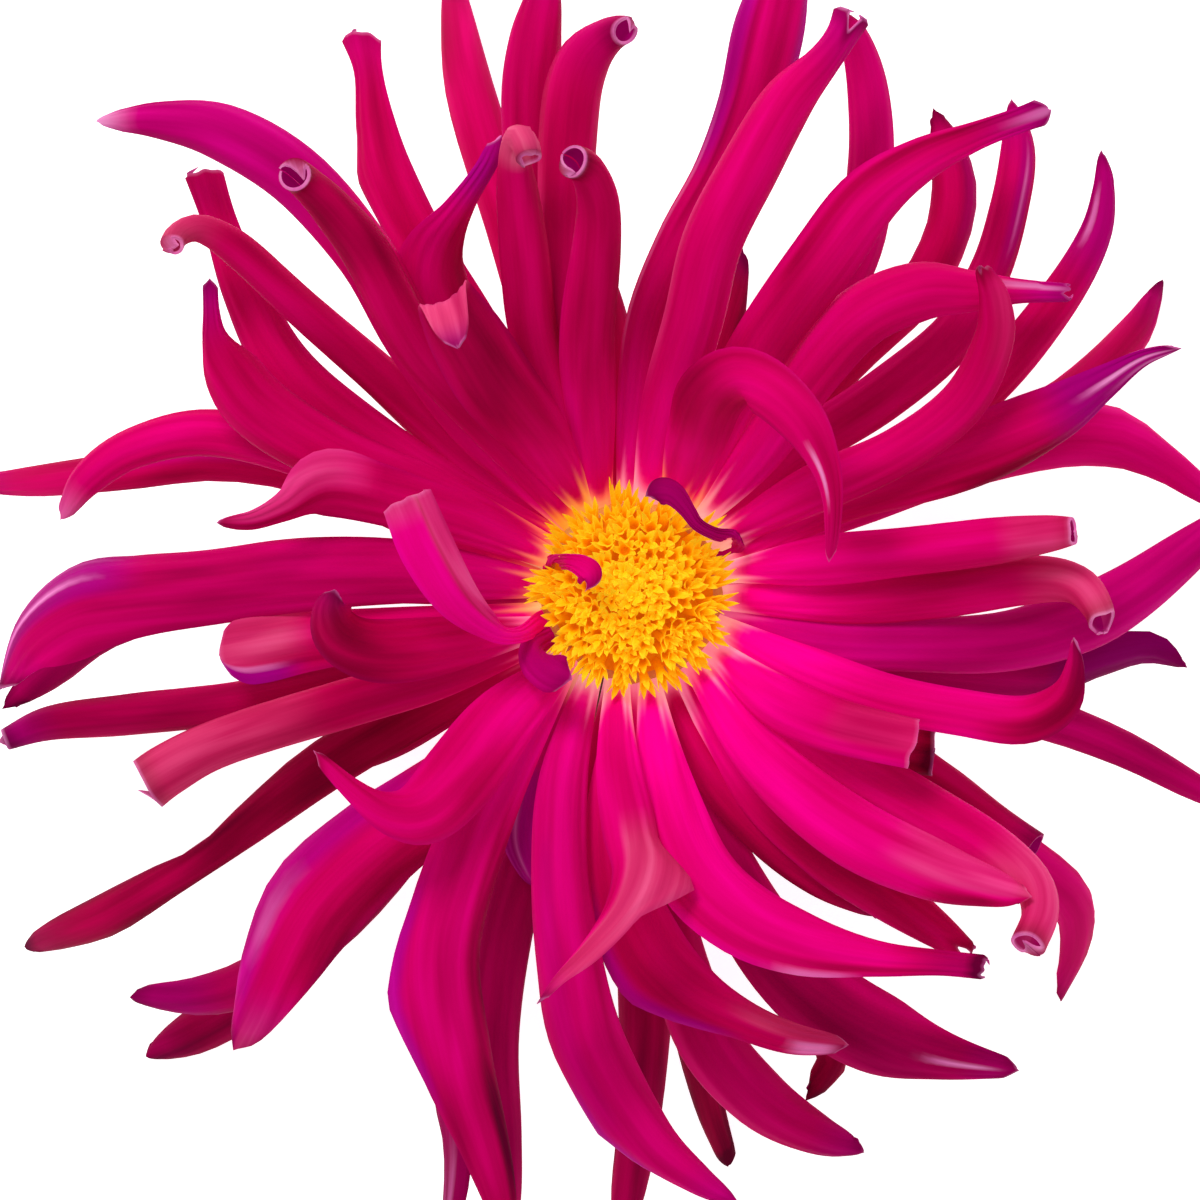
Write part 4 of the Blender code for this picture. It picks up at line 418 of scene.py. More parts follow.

# Single petals that differ. tone: darker or brighter than the middling crimson, partly the
# petal's own colour and partly painted light and shade; wash: violet over the whole petal;
# marks: (colour, from u, to u, from s, to s, strength), where u runs from claw to tip and s
# from -1 to 1, clockwise side positive; a light mark is painted light where its strength is
# plus and painted shade where it is minus, a pale mark partly a pale streak and partly a
# painted highlight; bumps: (side, u, span, mm wider).
petalDetails = {
    "t1": {"tone": 0.0, "cutBack": 0.6, "tipViolet": 0, "marks": (("paintedLightShade", 0.3, 0.8, -1.2, -0.45, 0.22),)},
    "t2": {"tone": 0.06, "cutBack": 2.6, "tipViolet": 0.3},
    "t3": {"tone": 0.02, "wash": 0.06},
    "t4": {"tone": 0.02, "cutBack": 0.6, "tipViolet": 0, "marks": (
        ("dusty", 0.915, 0.99, -1.2, 1.2, 0.9), ("paintedLightShade", 0.3, 0.8, -1.2, -0.5, 0.15))},
    "t5": {"tone": 0.02},
    "t6": {"tone": 0.22, "tipViolet": 0.3, "marks": (
        ("violet", 0.86, 1.1, -1.2, 1.2, 0.9), ("paintedLightShade", 0.5, 0.8, 0.2, 1.2, -0.25))},
    "t7": {"tone": 0.04, "slant": -2.2, "roundTip": 0.3, "tipViolet": 0.25, "darkTip": 0.1,
           "bumps": ((-1, 0.74, 0.07, 0.7),)},
    "t8": {"tone": 0.1, "tipViolet": 0.3, "marks": (
        ("violet", 0.62, 1.1, -1.2, 1.2, 0.45), ("paleAndHighlight", 0.975, 1.1, -1.2, 1.2, 0.8))},
    "t9": {"tone": 0.0, "cutBack": 0.4, "tipViolet": 0, "marks": (("paintedLightShade", 0.75, 0.95, -1.2, 1.2, -0.15),)},
    "t10": {"tone": -0.08, "tipViolet": 0, "marks": (
        ("dusty", 0.86, 0.965, -1.2, 1.2, 0.95), ("violet", 0.97, 1.1, -1.2, 1.2, 1.0))},
    "l1": {"tone": 0.04, "slant": -1.6, "roundTip": 0.3, "tipViolet": 0.1, "darkTip": 0.1},
    "l2": {"tone": 0.03, "cutBack": 0.6, "tipViolet": 0, "marks": (("dusty", 0.93, 1.1, -1.2, 1.2, 0.6),)},
    "l4": {"tone": 0.04, "roundTip": 1.2, "tipViolet": 0.7, "darkTip": 0.2},
    "l5": {"tone": 0.16, "roundTip": 2, "marks": (("paleAndHighlight", 0.965, 1.1, -1.2, 1.2, 0.4),)},
    "l6": {"tone": 0.0, "marks": (("violet", 0.3, 0.7, 0.0, 1.2, 0.5),)},
    "l7": {"tone": 0.02, "tipViolet": 0.1, "marks": (
        ("paintedLightShade", 0.62, 0.97, 0.0, 1.2, 0.4), ("dusty", 0.64, 0.97, 0.05, 1.2, 0.55))},
    "l8": {"tone": 0.36, "back": 0.0, "faceUp": (0.3, 0.2), "tipViolet": 0, "darkTip": 0, "slant": 0.8,
           "roundTip": 0.3, "rolls": (60, 50, 40, 30), "clawStrength": 0, "marks": (
        ("dusty", 0.5, 1.1, 0.35, 1.2, 0.5), ("paintedLightShade", 0.5, 1.1, 0.28, 0.42, -0.35),
        ("dusty", 0.95, 1.1, -1.2, 1.2, 0.5))},
    "l10": {"tone": 0.0, "wash": 0.15, "marks": (
        ("violet", 0.72, 1.1, 0.0, 1.2, 0.9), ("paleAndHighlight", 0.8, 0.98, 0.3, 0.42, 0.8),
        ("paleAndHighlight", 0.76, 0.9, 0.72, 0.78, 0.25))},
    "l11": {"tone": -0.2, "wash": 0.3},
    "l12": {"tone": 0.1, "roundTip": 4.5, "rolls": (45, 55, 40, 25), "tipViolet": 0, "darkTip": 0, "marks": (
        ("dusty", 0.78, 1.1, -0.5, 1.2, 0.45), ("violet", 0.8, 1.1, -1.2, -0.55, 1.0),
        ("paleAndHighlight", 0.84, 0.98, -0.62, -0.5, 0.5))},
    "l13": {"tone": -0.1, "faceUp": (0.6, 0.2), "tipViolet": 0.4},
    "l14": {"tone": -0.1, "wash": 0.1, "tipViolet": 0.8, "cutBack": 1.2},
    "l15": {"tone": -0.02, "roundTip": 0.3, "tipViolet": 0, "cutBack": 0.4,
            "notch": (1.2, 0.1, 0.7), "marks": (
        ("dusty", 0.6, 1.1, -1.2, 1.2, 0.3),)},
    "l16": {"tone": -0.22, "tipViolet": 0.2},
    "l17": {"tone": 0.12, "marks": (("paintedLightShade", 0.6, 1.1, -1.2, 0.0, 0.1),)},
    "l18": {"tone": 0.12, "tipViolet": 0.3, "marks": (
        ("violet", 0.4, 0.95, 0.35, 1.2, 0.7), ("paleAndHighlight", 0.7, 0.82, 0.5, 0.62, 0.8),
        ("violet", 0.9, 1.1, -1.2, 1.2, 0.5), ("dusty", 0.93, 1.1, -1.2, 0.3, 0.35),
        ("paintedLightShade", 0.3, 0.85, -1.2, -0.35, -0.28))},
    "l19": {"tone": -0.15, "wash": 0.2, "marks": (("violet", 0.85, 1.1, -1.2, 1.2, 0.6),)},
    "l20": {"tone": -0.2, "wash": 0.1},
    "b1": {"tone": 0.16, "wash": 0.1, "bumps": ((1, 0.6, 0.12, 2.2),), "marks": (
        ("violet", 0.45, 0.75, 0.72, 1.2, 0.9), ("paintedLightShade", 0.3, 1.1, -1.2, -0.5, -0.3),
        ("paintedLightShade", 0.74, 1.1, -1.2, 1.2, -0.2))},
    "b2": {"tone": -0.12, "wash": 0.25},
    "b3": {"tone": -0.22, "wash": 0.4, "marks": (
        ("paleAndHighlight", 0.84, 1.1, -0.2, 0.0, 0.4), ("paleAndHighlight", 0.88, 1.1, 0.35, 0.5, 0.35))},
    "b4": {"tone": -0.1, "wash": 0.3, "clawLength": 1.7, "claw": (0.75, 0.0), "marks": (
        ("violet", 0.5, 1.1, -1.2, 1.2, 0.95), ("paleAndHighlight", 0.6, 0.9, 0.2, 0.35, 0.3))},
    "b5": {"tone": 0.14, "bumps": ((-1, 0.62, 0.1, 5.0),), "back": 0.1, "tipViolet": 0.4, "marks": (
        ("dusty", 0.5, 0.93, -1.2, 0.3, 0.55), ("paintedLightShade", 0.75, 1.1, 0.3, 1.2, 0.15))},
    "b6": {"tone": 0.08, "wash": 0.16, "bumps": ((1, 0.78, 0.1, 1.2),), "marks": (
        ("violet", 0.7, 0.88, 0.62, 1.2, 0.9), ("violet", 0.95, 1.1, -1.2, 1.2, 0.6),
        ("violet", 0.3, 0.8, 0.2, 0.7, 0.3), ("paintedLightShade", 0.2, 0.9, -0.3, 0.2, 0.1))},
    "b7": {"tone": 0.3, "tipViolet": 0.3, "ragged": 2.5, "roundTip": 0.8, "darkTip": 0.6, "marks": (
        ("paleAndHighlight", 0.66, 0.76, 0.8, 1.2, 0.6), ("violet", 0.9, 1.1, -1.2, 1.2, 0.3),
        ("paintedLightShade", 0.3, 0.85, 0.45, 0.75, -0.2), ("paintedLightShade", 0.86, 1.1, -1.2, 1.2, -0.3))},
    "b8": {"tone": 0.02, "bumps": ((1, 0.62, 0.1, 1.4),), "tipViolet": 0.2, "marks": (
        ("violet", 0.45, 0.78, 0.66, 1.2, 0.85), ("paleAndHighlight", 0.9, 0.97, 0.1, 0.9, 0.6),
        ("dusty", 0.8, 1.1, -1.2, 0.0, 0.45), ("paintedLightShade", 0.25, 0.8, -1.2, -0.5, 0.2))},
    "b9": {"tone": 0.0, "wash": 0.15},
    "b10": {"tone": -0.3, "tipViolet": 0, "roundTip": 2},
    "b11": {"tone": -0.2, "wash": 0.1},
    "b12": {"tone": -0.1, "wash": 0.22, "roundTip": 2.5, "marks": (
        ("paleAndHighlight", 0.85, 0.95, 0.1, 0.28, 0.8), ("violet", 0.9, 1.1, -1.2, 1.2, 0.5))},
    "b13": {"tone": -0.3, "tipViolet": 0},
    "b14": {"tone": -0.2},
    "r1": {"tone": 0.3, "tipViolet": 0, "marks": (
        ("dusty", 0.72, 1.1, -1.2, 0.3, 0.35), ("paintedLightShade", 0.8, 0.94, 0.5, 1.2, -0.35))},
    "r2": {"tone": 0.0, "roundTip": 1, "notch": (2.0, 0.1, 0.25), "tipViolet": 0},
    "r3": {"tone": 0.2, "roundTip": 0.3, "rolls": (50, 90, 80, 70), "tipViolet": 0, "darkTip": 0, "marks": (
        ("dusty", 0.72, 1.1, -1.2, 0.4, 0.25),)},
    "r3b": {"tone": -0.1, "roundTip": 0.3, "rolls": (50, 90, 80, 70), "tipViolet": 0},
    "r4": {"tone": 0.26, "darkTip": 0.1, "marks": (
        ("paintedLightShade", 0.7, 1.1, 0.0, 1.2, -0.3), ("paintedLightShade", 0.78, 1.1, -1.2, 1.2, -0.15))},
    "r5": {"tone": 0.2, "cutBack": 1.6, "tipViolet": 0, "marks": (
        ("dusty", 0.78, 0.99, -1.2, 0.8, 0.45),)},
    "r5b": {"tone": -0.06, "tipViolet": 0.3, "cutBack": 1.0},
    "r6": {"tone": 0.1, "wash": 0.12},
    "r7": {"tone": 0.0, "wash": 0.25},
    "r8": {"tone": 0.08, "wash": 0.4, "marks": (("violet", 0.5, 1.1, -1.2, 1.2, 0.4),)},
    "r9": {"tone": -0.1, "wash": 0.4, "marks": (
        ("violet", 0.72, 1.1, -1.2, 1.2, 1.0), ("paintedLightShade", 0.72, 1.1, -1.2, 1.2, -0.2))},
    "r10": {"tone": 0.08, "ragged": 3.0, "tipViolet": 0, "marks": (("dusty", 0.78, 0.97, -1.2, 0.8, 0.35),)},
    "r11": {"tone": 0.15, "cutBack": 1.6, "tipViolet": 0, "marks": (
        ("dusty", 0.84, 0.98, -0.8, 0.8, 0.3), ("paintedLightShade", 0.6, 0.95, 0.3, 1.2, -0.15))},
    "r12": {"tone": 0.14, "wash": 0.12},
    "r13": {"tone": 0.06, "marks": (
        ("violet", 0.74, 1.1, -1.2, 1.2, 0.85), ("paleAndHighlight", 0.82, 0.97, -0.3, -0.1, 0.9),
        ("paleAndHighlight", 0.88, 1.1, 0.3, 0.5, 0.5), ("paintedLightShade", 0.5, 0.75, 0.5, 1.2, -0.3))},
    "r14": {"tone": 0.0},
    "r15": {"tone": 0.12, "back": 0.0, "faceUp": (0.3, 0.25), "tipViolet": 0.1, "darkTip": 0, "roundTip": 1.5,
            "marks": (("paintedLightShade", 0.28, 0.5, -1.2, 1.2, -0.2), ("paleAndHighlight", 0.78, 0.88, 0.25, 0.45, 0.8))},
    "r16": {"tone": 0.04, "roundTip": 1.4, "ragged": 3.0, "tipViolet": 0, "darkTip": 0.3, "marks": (
        ("dusty", 0.8, 0.95, 0.0, 0.8, 0.12),)},
    "r17": {"tone": 0.04, "marks": (
        ("violet", 0.8, 1.1, -1.2, 1.2, 0.6), ("paleAndHighlight", 0.85, 0.93, -0.5, -0.25, 0.6))},
    "r18": {"tone": 0.12, "roundTip": 0.6, "ragged": 3.0, "tipViolet": 0.7, "marks": (
        ("paleAndHighlight", 0.86, 0.98, -0.5, -0.2, 0.5),)},
    "r19": {"tone": 0.06, "wash": 0.08, "marks": (
        ("violet", 0.72, 0.95, 0.1, 0.6, 0.6), ("paleAndHighlight", 0.76, 0.9, 0.3, 0.42, 0.35))},
    "r20": {"tone": -0.03, "marks": (("violet", 0.75, 0.95, 0.2, 1.2, 0.4),)},
    "r21": {"tone": 0.12, "tipViolet": 0.7, "roundTip": 1.6, "marks": (
        ("paleAndHighlight", 0.95, 1.1, -0.3, 0.3, 0.5), ("paintedLightShade", 0.5, 0.9, -0.75, -0.5, -0.25))},
    "r22": {"tone": 0.08, "wash": 0.2},
    "r24": {"tone": 0.14, "rolls": (52, 92, 130, 60), "tipViolet": 0.5, "darkTip": 0.4, "cutBack": 0,
            "notch": (3.4, 0.1, 0.3), "marks": (("dusty", 0.25, 0.8, -1.2, -0.7, 0.2),)},
    "r25": {"tone": 0.08, "wash": 0.1, "marks": (
        ("violet", 0.6, 1.1, -1.2, -0.5, 0.85), ("violet", 0.75, 1.1, 0.5, 1.2, 0.85),
        ("paintedLightShade", 0.5, 1.1, -0.5, -0.35, -0.25), ("paleAndHighlight", 0.3, 0.7, -0.9, -0.8, 0.25))},
    "c1": {"tone": 0.1, "back": 0.0, "clawStrength": 0, "faceUp": (0.3, 0.2), "tipViolet": 0.5, "marks": (
        ("dusty", 0.3, 0.62, -1.2, 1.2, 0.4),)},
    "c2": {"tone": -0.2, "wash": 0.55, "back": 0.1, "clawStrength": 0, "faceUp": (0.3, 0.2)},
    "c3": {"tone": -0.2, "wash": 0.5, "back": 0.1, "clawStrength": 0, "faceUp": (0.2, 0.2)},
}


def smoothPath(points, count):
    # through the way-points, then cut into even steps
    p = np.array(points, float)
    p = np.vstack([2 * p[0] - p[1], p, 2 * p[-1] - p[-2]])
    t = np.linspace(0, 1, 16, endpoint=False)[:, None]
    spans = [0.5 * (2 * b + (c - a) * t + (2 * a - 5 * b + 4 * c - d) * t ** 2
                    + (3 * b - 3 * c + d - a) * t ** 3)
             for a, b, c, d in zip(p, p[1:], p[2:], p[3:])]
    curve = np.vstack(spans + [p[-2:-1]])
    steps = np.linalg.norm(np.diff(curve[:, :3], axis=0), axis=1)
    reached = np.concatenate([[0], np.cumsum(steps)])
    even = np.linspace(0, reached[-1], count)
    return np.column_stack([np.interp(even, reached, column) for column in curve.T]), reached[-1]


def petalFrames(path, turn, faceUp=None):
    # sideways and face direction along the petal, carried from straight up
    ahead = np.gradient(path[:, :3], axis=0)
    ahead /= np.linalg.norm(ahead, axis=1)[:, None]
    face = np.array([0, 0, 1.0])
    faces = []
    for step in ahead:
        face = face - step * face.dot(step)
        face /= np.linalg.norm(face)
        faces.append(face)
    faces = np.array(faces)
    u = np.linspace(0, 1, len(path))
    if faceUp:
        # from this place on the petal twists until its face looks up again
        start, span = faceUp
        upright = np.array([0, 0, 1.0]) - ahead * ahead[:, 2:]
        share = smoothStep((u - start) / span)[:, None]
        faces = faces * (1 - share) + upright / np.linalg.norm(upright, axis=1)[:, None] * share
        faces /= np.linalg.norm(faces, axis=1)[:, None]
    angle = np.radians(np.interp(u, (0, 0.5, 1), (0, *turn)))[:, None]
    turned = faces * np.cos(angle) + np.cross(ahead, faces) * np.sin(angle)
    return np.cross(ahead, turned), turned


def lookUp(table, u):
    # rows of a table at any place u between 0 and 1
    x = np.clip(u, 0, 1) * (len(table) - 1)
    low = np.minimum(x.astype(int), len(table) - 2)
    share = (x - low)[..., None]
    return table[low] * (1 - share) + table[low + 1] * share


def softPatch(u, s, fromU, toU, fromS, toS):
    edgeU, edgeS = petalShape["patchEdge"]
    edgeU = min(edgeU, (toU - fromU) * 0.6)
    edgeS = min(edgeS, (toS - fromS) * 0.6)
    alongIn = smoothStep((u - fromU) / edgeU + 0.5) * smoothStep((toU - u) / edgeU + 0.5)
    return alongIn * smoothStep((s - fromS) / edgeS + 0.5) * smoothStep((toS - s) / edgeS + 0.5)


def makePetal(index, name, kind, turn, points, shown):
    shape = petalShape
    detail = petalDetails.get(name, {})
    draw = random.Random(shape["seed"] * 1000 + index)
    reach = math.hypot(points[0][0], points[0][1])
    inward = 1 - shape["rootSink"] / reach
    root = (points[0][0] * inward, points[0][1] * inward, min(points[0][2], shape["rootCeiling"]),
            points[0][3])
    path, length = smoothPath([root] + points, 161)
    side, face = petalFrames(path, turn, detail.get("faceUp"))
    table = np.hstack([path, side, face])
    rows, columns = shape["steps"] if shown else shape["hiddenSteps"]

    s = np.linspace(-1, 1, columns + 1)
    s = 0.7 * s + 0.3 * np.sin(s * math.pi / 2)
    # the end of each column: tubes are shorter on top, all are a little ragged
    cut = detail.get("cutBack", shape["cutBack"][kind]) * (1 - s * s) ** 1.5
    ragged = sum(0.22 / k * np.sin(s * k * 3.1 + draw.uniform(0, 6.3)) for k in (1, 2, 3))
    roundTip = detail.get("roundTip", shape["roundTip"][kind])
    cut = cut + ragged * detail.get("ragged", 1) + min(roundTip, 1.4) * s * s
    cut = cut + detail.get("slant", 0) * (1 - s) / 2
    notchDeep, notchAt, notchWide = detail.get("notch", (0, 0, 1))
    cut = cut + notchDeep * np.exp(-((s - notchAt) / notchWide) ** 2)
    end = 1 - np.maximum(cut - cut.min(), 0) / length
    u = np.linspace(0, 1, rows + 1)
    u = 0.4 * u + 0.3 * (1 - np.cos(u * math.pi))      # closer rows at the claw and at the tip
    u = u[:, None] * end[None, :]
    s = np.broadcast_to(s, u.shape)

    at = lookUp(table, u)
    place, halfWidth, sideways, up = at[..., :3], at[..., 3] / 2, at[..., 4:7], at[..., 7:10]
    toEnd = (1 - u) * length
    closing = np.sqrt(np.clip(1 - (1 - np.clip(toEnd / roundTip, 0, 1)) ** 2, 0.02, 1))
    wobble = 1 + 0.025 * np.sin(u * length / 6.5 + draw.uniform(0, 6.3)) * np.sign(s)
    halfWidth = np.maximum(halfWidth * wobble * closing, 0.22)
    for bumpSide, bumpAt, bumpSpan, extra in detail.get("bumps", ()):
        peak = np.clip(1 - np.abs(u - bumpAt) / bumpSpan, 0, 1)
        halfWidth = halfWidth + extra * peak ** 1.3 * (np.sign(s) == bumpSide)

    rolls = detail.get("rolls", shape["rolls"][kind])
    roll = np.radians(np.interp(u, shape["rollPlaces"], rolls))
    roll = roll * (1 + shape["rollSkew"] * draw.choice((-1, 1)) * np.sign(s) * smoothStep(u * 2 - 0.6))
    if kind != "tube":
        roll = np.where(halfWidth < 1.6, np.minimum(roll, math.radians(75)), roll)
    share = np.linspace(0, 1, 25)
    curl = shape["marginCurl"][kind]
    bend = (1 - curl) * share + curl * share ** 2.5
    angle = roll[..., None] * bend
    stepX = (np.cos(angle[..., 1:]) + np.cos(angle[..., :-1])) / 48
    stepZ = (np.sin(angle[..., 1:]) + np.sin(angle[..., :-1])) / 48
    runX = np.concatenate([np.zeros(u.shape + (1,)), np.cumsum(stepX, -1)], -1)
    runZ = np.concatenate([np.zeros(u.shape + (1,)), np.cumsum(stepZ, -1)], -1)
    scale = halfWidth / runX.max(-1)
    spot = np.abs(s) * 24
    low = np.minimum(spot.astype(int), 23)
    part = spot - low
    below, above = low[..., None], low[..., None] + 1
    across, drop = (np.take_along_axis(run, below, -1)[..., 0] * (1 - part)
                    + np.take_along_axis(run, above, -1)[..., 0] * part for run in (runX, runZ))
    furrow = sum(np.exp(-((np.abs(s) - spotS) / 0.09) ** 2) for spotS in shape["furrows"])
    furrow = furrow * shape["furrowDepth"] * smoothStep(u / 0.25) * smoothStep(toEnd / 6)
    ruffle = 0.28 * np.sin(u * length / 4.2 + draw.uniform(0, 6.3) + np.sign(s)) * np.abs(s) ** 3
    sheet = (place + sideways * (np.sign(s) * across * scale)[..., None]
             + up * (-drop * scale - furrow + ruffle)[..., None])

    alongStep = np.gradient(sheet, axis=0)
    acrossStep = np.gradient(sheet, axis=1)
    normal = np.cross(acrossStep, alongStep)
    normal /= np.linalg.norm(normal, axis=-1)[..., None] + 1e-9
    middle, margin = shape["thickness"]
    thick = middle + (margin - middle) * np.abs(s) ** 2
    thick = np.minimum(thick, 0.7 * halfWidth)
    under = sheet - normal * thick[..., None]

    # marks for the colours
    radius = 13 + np.maximum(u * length - shape["rootSink"], 0) * 0.85
    clawStart, clawEnd = shape["clawReach"]
    clawEnd += (clawEnd - clawStart) * (detail.get("clawLength", draw.uniform(0.8, 1.2)) - 1)
    for spotS, wide, far in shape["wedges"]:
        wedge = far * np.exp(-((np.abs(s) - spotS) / wide) ** 2) * draw.uniform(0.15, 1.1)
        clawEnd = clawEnd + wedge * (1 + 0.6 * draw.uniform(-1, 1) * np.sign(s))
    claw = 1 - smoothStep((radius - clawStart) / (clawEnd - clawStart))
    claw = claw * detail.get("clawStrength", 1)
    azimuth = math.degrees(math.atan2(points[0][1], points[0][0])) % 360
    warmSide = 95 < azimuth < 200 or 50 < azimuth < 75
    warmth = draw.uniform(0.25, 0.5)
    paleness = draw.uniform(0.0, 0.3) if warmSide else draw.uniform(0.75, 1)
    clawWarm = detail.get("claw", (warmth, paleness))
    toRim = (end[None, :] - u) * length
    violet = 0.2 * smoothStep((np.abs(s) - 0.75) / 0.25) * smoothStep((u - 0.3) / 0.3)
    tipViolet = detail.get("tipViolet", draw.uniform(0.1, 0.6))
    violet = np.maximum(violet, tipViolet * smoothStep((u - 0.84) / 0.16))
    violet = np.maximum(violet, detail.get("wash", 0))
    dusty = np.zeros_like(u)
    # pale band along the cut end: a painted highlight on the edge
    paleAndHighlight = shape["paintedRimHighlight"][kind] * (1 - smoothStep(toRim / 0.6)) * (1 if shown else 0)
    # tone: the petal's set tone, plus painted light near the disc, less a darker tip
    paintedCentreLight, paintedLightFrom, paintedLightTo = shape["paintedCentreLight"]
    tone = 0.42 + detail.get("tone", -0.2)
    tone = tone + paintedCentreLight * (1 - smoothStep((radius - paintedLightFrom) / (paintedLightTo - paintedLightFrom)))
    tone = tone - detail.get("darkTip", draw.uniform(0.1, 0.4)) * smoothStep(1 - toRim / 3.5)
    for mark, fromU, toU, fromS, toS, strength in detail.get("marks", ()):
        spread = softPatch(u, s, fromU, toU, fromS, toS) * strength
        if mark == "violet":
            violet = np.maximum(violet, spread)
        elif mark == "dusty":
            dusty = np.maximum(dusty, spread)
        elif mark == "paleAndHighlight":
            paleAndHighlight = np.maximum(paleAndHighlight, spread)
        # a light mark: painted light where plus, painted shade where minus, added to the tone
        else:
            tone = tone + spread
    placeTop = np.stack([s * scale + 40 * index, u * length, np.zeros_like(u)], -1)
    placeUnder = placeTop + (0, 0, detail.get("back", 1))
    markAll = np.stack([violet, paleAndHighlight, dusty, tone], -1)
    clawAll = np.stack([claw, np.clip(clawWarm[0] + 0.4 * claw, 0, 1), np.full_like(u, clawWarm[1])], -1)

    count = u.size
    width = columns + 1
    number = np.arange(count).reshape(u.shape)
    a, b, c, d = number[:-1, :-1], number[:-1, 1:], number[1:, 1:], number[1:, :-1]
    top = np.stack([a, b, c, d], -1).reshape(-1, 4)
    bottom = np.stack([a, d, c, b], -1).reshape(-1, 4) + count
    rims = []
    for i in range(rows):
        left, leftNext = i * width, (i + 1) * width
        right, rightNext = left + columns, leftNext + columns
        rims.append((left, leftNext, leftNext + count, left + count))
        rims.append((right, right + count, rightNext + count, rightNext))
    last = rows * width
    for j in range(columns):
        rims.append((j, j + count, j + 1 + count, j + 1))
        rims.append((last + j, last + j + 1, last + j + 1 + count, last + j + count))
    faces = top.tolist() + bottom.tolist() + rims
    verts = np.vstack([sheet.reshape(-1, 3), under.reshape(-1, 3)])
    verts[:, 2] = np.maximum(verts[:, 2], 0.0)
    two = lambda values: np.vstack([values.reshape(-1, values.shape[-1])] * 2)
    return buildPiece(
        "petal_" + name, verts, faces, petalSatin, ["ray_petals"],
        vectors={"petalPlace": np.vstack([placeTop.reshape(-1, 3), placeUnder.reshape(-1, 3)]),
                 "petalClaw": two(clawAll)},
        colours={"petalMarks": two(markAll)})


for index, (name, kind, turn, points) in enumerate(petalRows):
    makePetal(index, name, kind, turn, points, points[0][2] > 37)
print(len(petalRows), "ray petals grown")

# short petals that fill the back of the head, low and hidden from the front
rearPetals = {
    "azimuths": (8, 48, 72, 97, 131, 177, 211, 262, 323),
    "length": 39.0,
    "width": 7.5,
    "root": (12.4, 34.3),          # mm from the axis, height
    "profile": ((0, 0, 0.6), (0.35, 2.1, 0.9), (0.7, 0, 1), (1, -7, 0.3)),
    "seed": 11,
}
draw = random.Random(rearPetals["seed"])
for number, azimuth in enumerate(rearPetals["azimuths"]):
    angle = math.radians(azimuth + draw.uniform(-1, 1))
    length = rearPetals["length"] * draw.uniform(0.94, 1.06)
    rootRadius, rootHeight = rearPetals["root"]
    points = []
    for share, rise, width in rearPetals["profile"]:
        reach = rootRadius + length * share
        points.append((reach * math.cos(angle), reach * math.sin(angle), rootHeight + rise,
                       rearPetals["width"] * width))
    makePetal(100 + number, f"rear{number + 1}", "strap", (0, 0), points, False)
print("rear petals grown")


def turnedRings(profile, sides, wave=None):
    # rings of a turned form from (radius, height), closed at both ends by a flat face
    verts, faces = [], []
    for k, (radius, height) in enumerate(profile):
        for n in range(sides):
            angle = 2 * math.pi * n / sides
            r = radius * (wave(angle, k) if wave else 1)
            verts.append((r * math.cos(angle), r * math.sin(angle), height))
    for k in range(len(profile) - 1):
        for n in range(sides):
            m = (n + 1) % sides
            faces.append((k * sides + n, (k + 1) * sides + n, (k + 1) * sides + m, k * sides + m))
    faces.append(tuple(range(sides)))
    faces.append(tuple((len(profile) - 1) * sides + n for n in reversed(range(sides))))
    return verts, faces


# Green leaf tissue of the bracts: matt waxy skin, in soft patches of darker and yellower
# green.
bractFinish = {
    "green": ((0.0, "#3E5A1E"), (0.5, "#5E7E2C"), (1.0, "#8FA24A")),
    "grain": 1.4,                  # mm between blotches
    "roughness": 0.55,
}


def leafyBract(name, look):
    material, tree, shader = startMaterial(name)
    place = addNode(tree, "TexCoord")
    fineScale = 1 / (look["grain"] * mm)
    blotch = addNode(tree, "TexNoise", {"Vector": place.outputs["Object"], "Scale": fineScale, "Detail": 3.0})
    broad = addNode(tree, "TexNoise", {"Vector": place.outputs["Object"], "Scale": fineScale / 5,
                                       "Detail": 1.0})
    mixed = addNode(tree, "Mix", {0: 0.5, 2: blotch.outputs[0], 3: broad.outputs[0]})
    stretched = addNode(tree, "MapRange", {0: mixed.outputs[0], 1: 0.1, 2: 0.9})
    colour = addNode(tree, "ValToRGB", {0: stretched.outputs[0]}, stops=look["green"])
    bump = addNode(tree, "Bump", {"Strength": 0.3, "Distance": 0.0002, "Height": blotch.outputs[0]})
    tree.links.new(colour.outputs[0], shader.inputs["Base Color"])
    tree.links.new(bump.outputs[0], shader.inputs["Normal"])
    shader.inputs["Roughness"].default_value = look["roughness"]
    shader.inputs["Subsurface Weight"].default_value = 0.08
    shader.inputs["Subsurface Scale"].default_value = 0.0008
    return material


greenBract = leafyBract("green bract skin", bractFinish)

receptacle = {
    "profile": ((0.4, 43.6), (11.8, 43.6), (12.7, 43.0), (13.0, 42.0), (13.0, 38.5), (13.0, 35.5),
                (12.3, 33.6), (11.4, 32.2), (10.2, 31.2), (9.0, 30.4), (0.4, 30.4)),
    "sides": 64,
}
# the same tissue under the claws, bleached to cream and orange there
receptacleFinish = {"green": ((0.0, "#D0843A"), (0.5, "#E0A84C"), (1.0, "#E8C468")), "grain": 1.0,
                    "roughness": 0.6}
clawCream = leafyBract("cream receptacle skin", receptacleFinish)
verts, faces = turnedRings(receptacle["profile"], receptacle["sides"],
                           lambda angle, k: 1 + 0.012 * math.sin(13 * angle + k))
buildPiece("receptacle", verts, faces, clawCream, ["ray_petals"])

# Disc florets: tiny trumpets of five pointed lobes, matt and dusted with pollen. To the eye
# that is golden yellow; painted light and shade make it brighter on the lobes and brown-orange
# down at the feet and in the mouths, and a faint painted glow is added.
floretFinish = {
    "gold": ((0.0, "#E08400"), (0.3, "#F2A200"), (0.6, "#FFBE00"), (1.0, "#FFD420")),
    "grain": 0.5,                  # mm, pollen drawn coarser than its real 0.1 mm
    "roughness": 0.6,
}


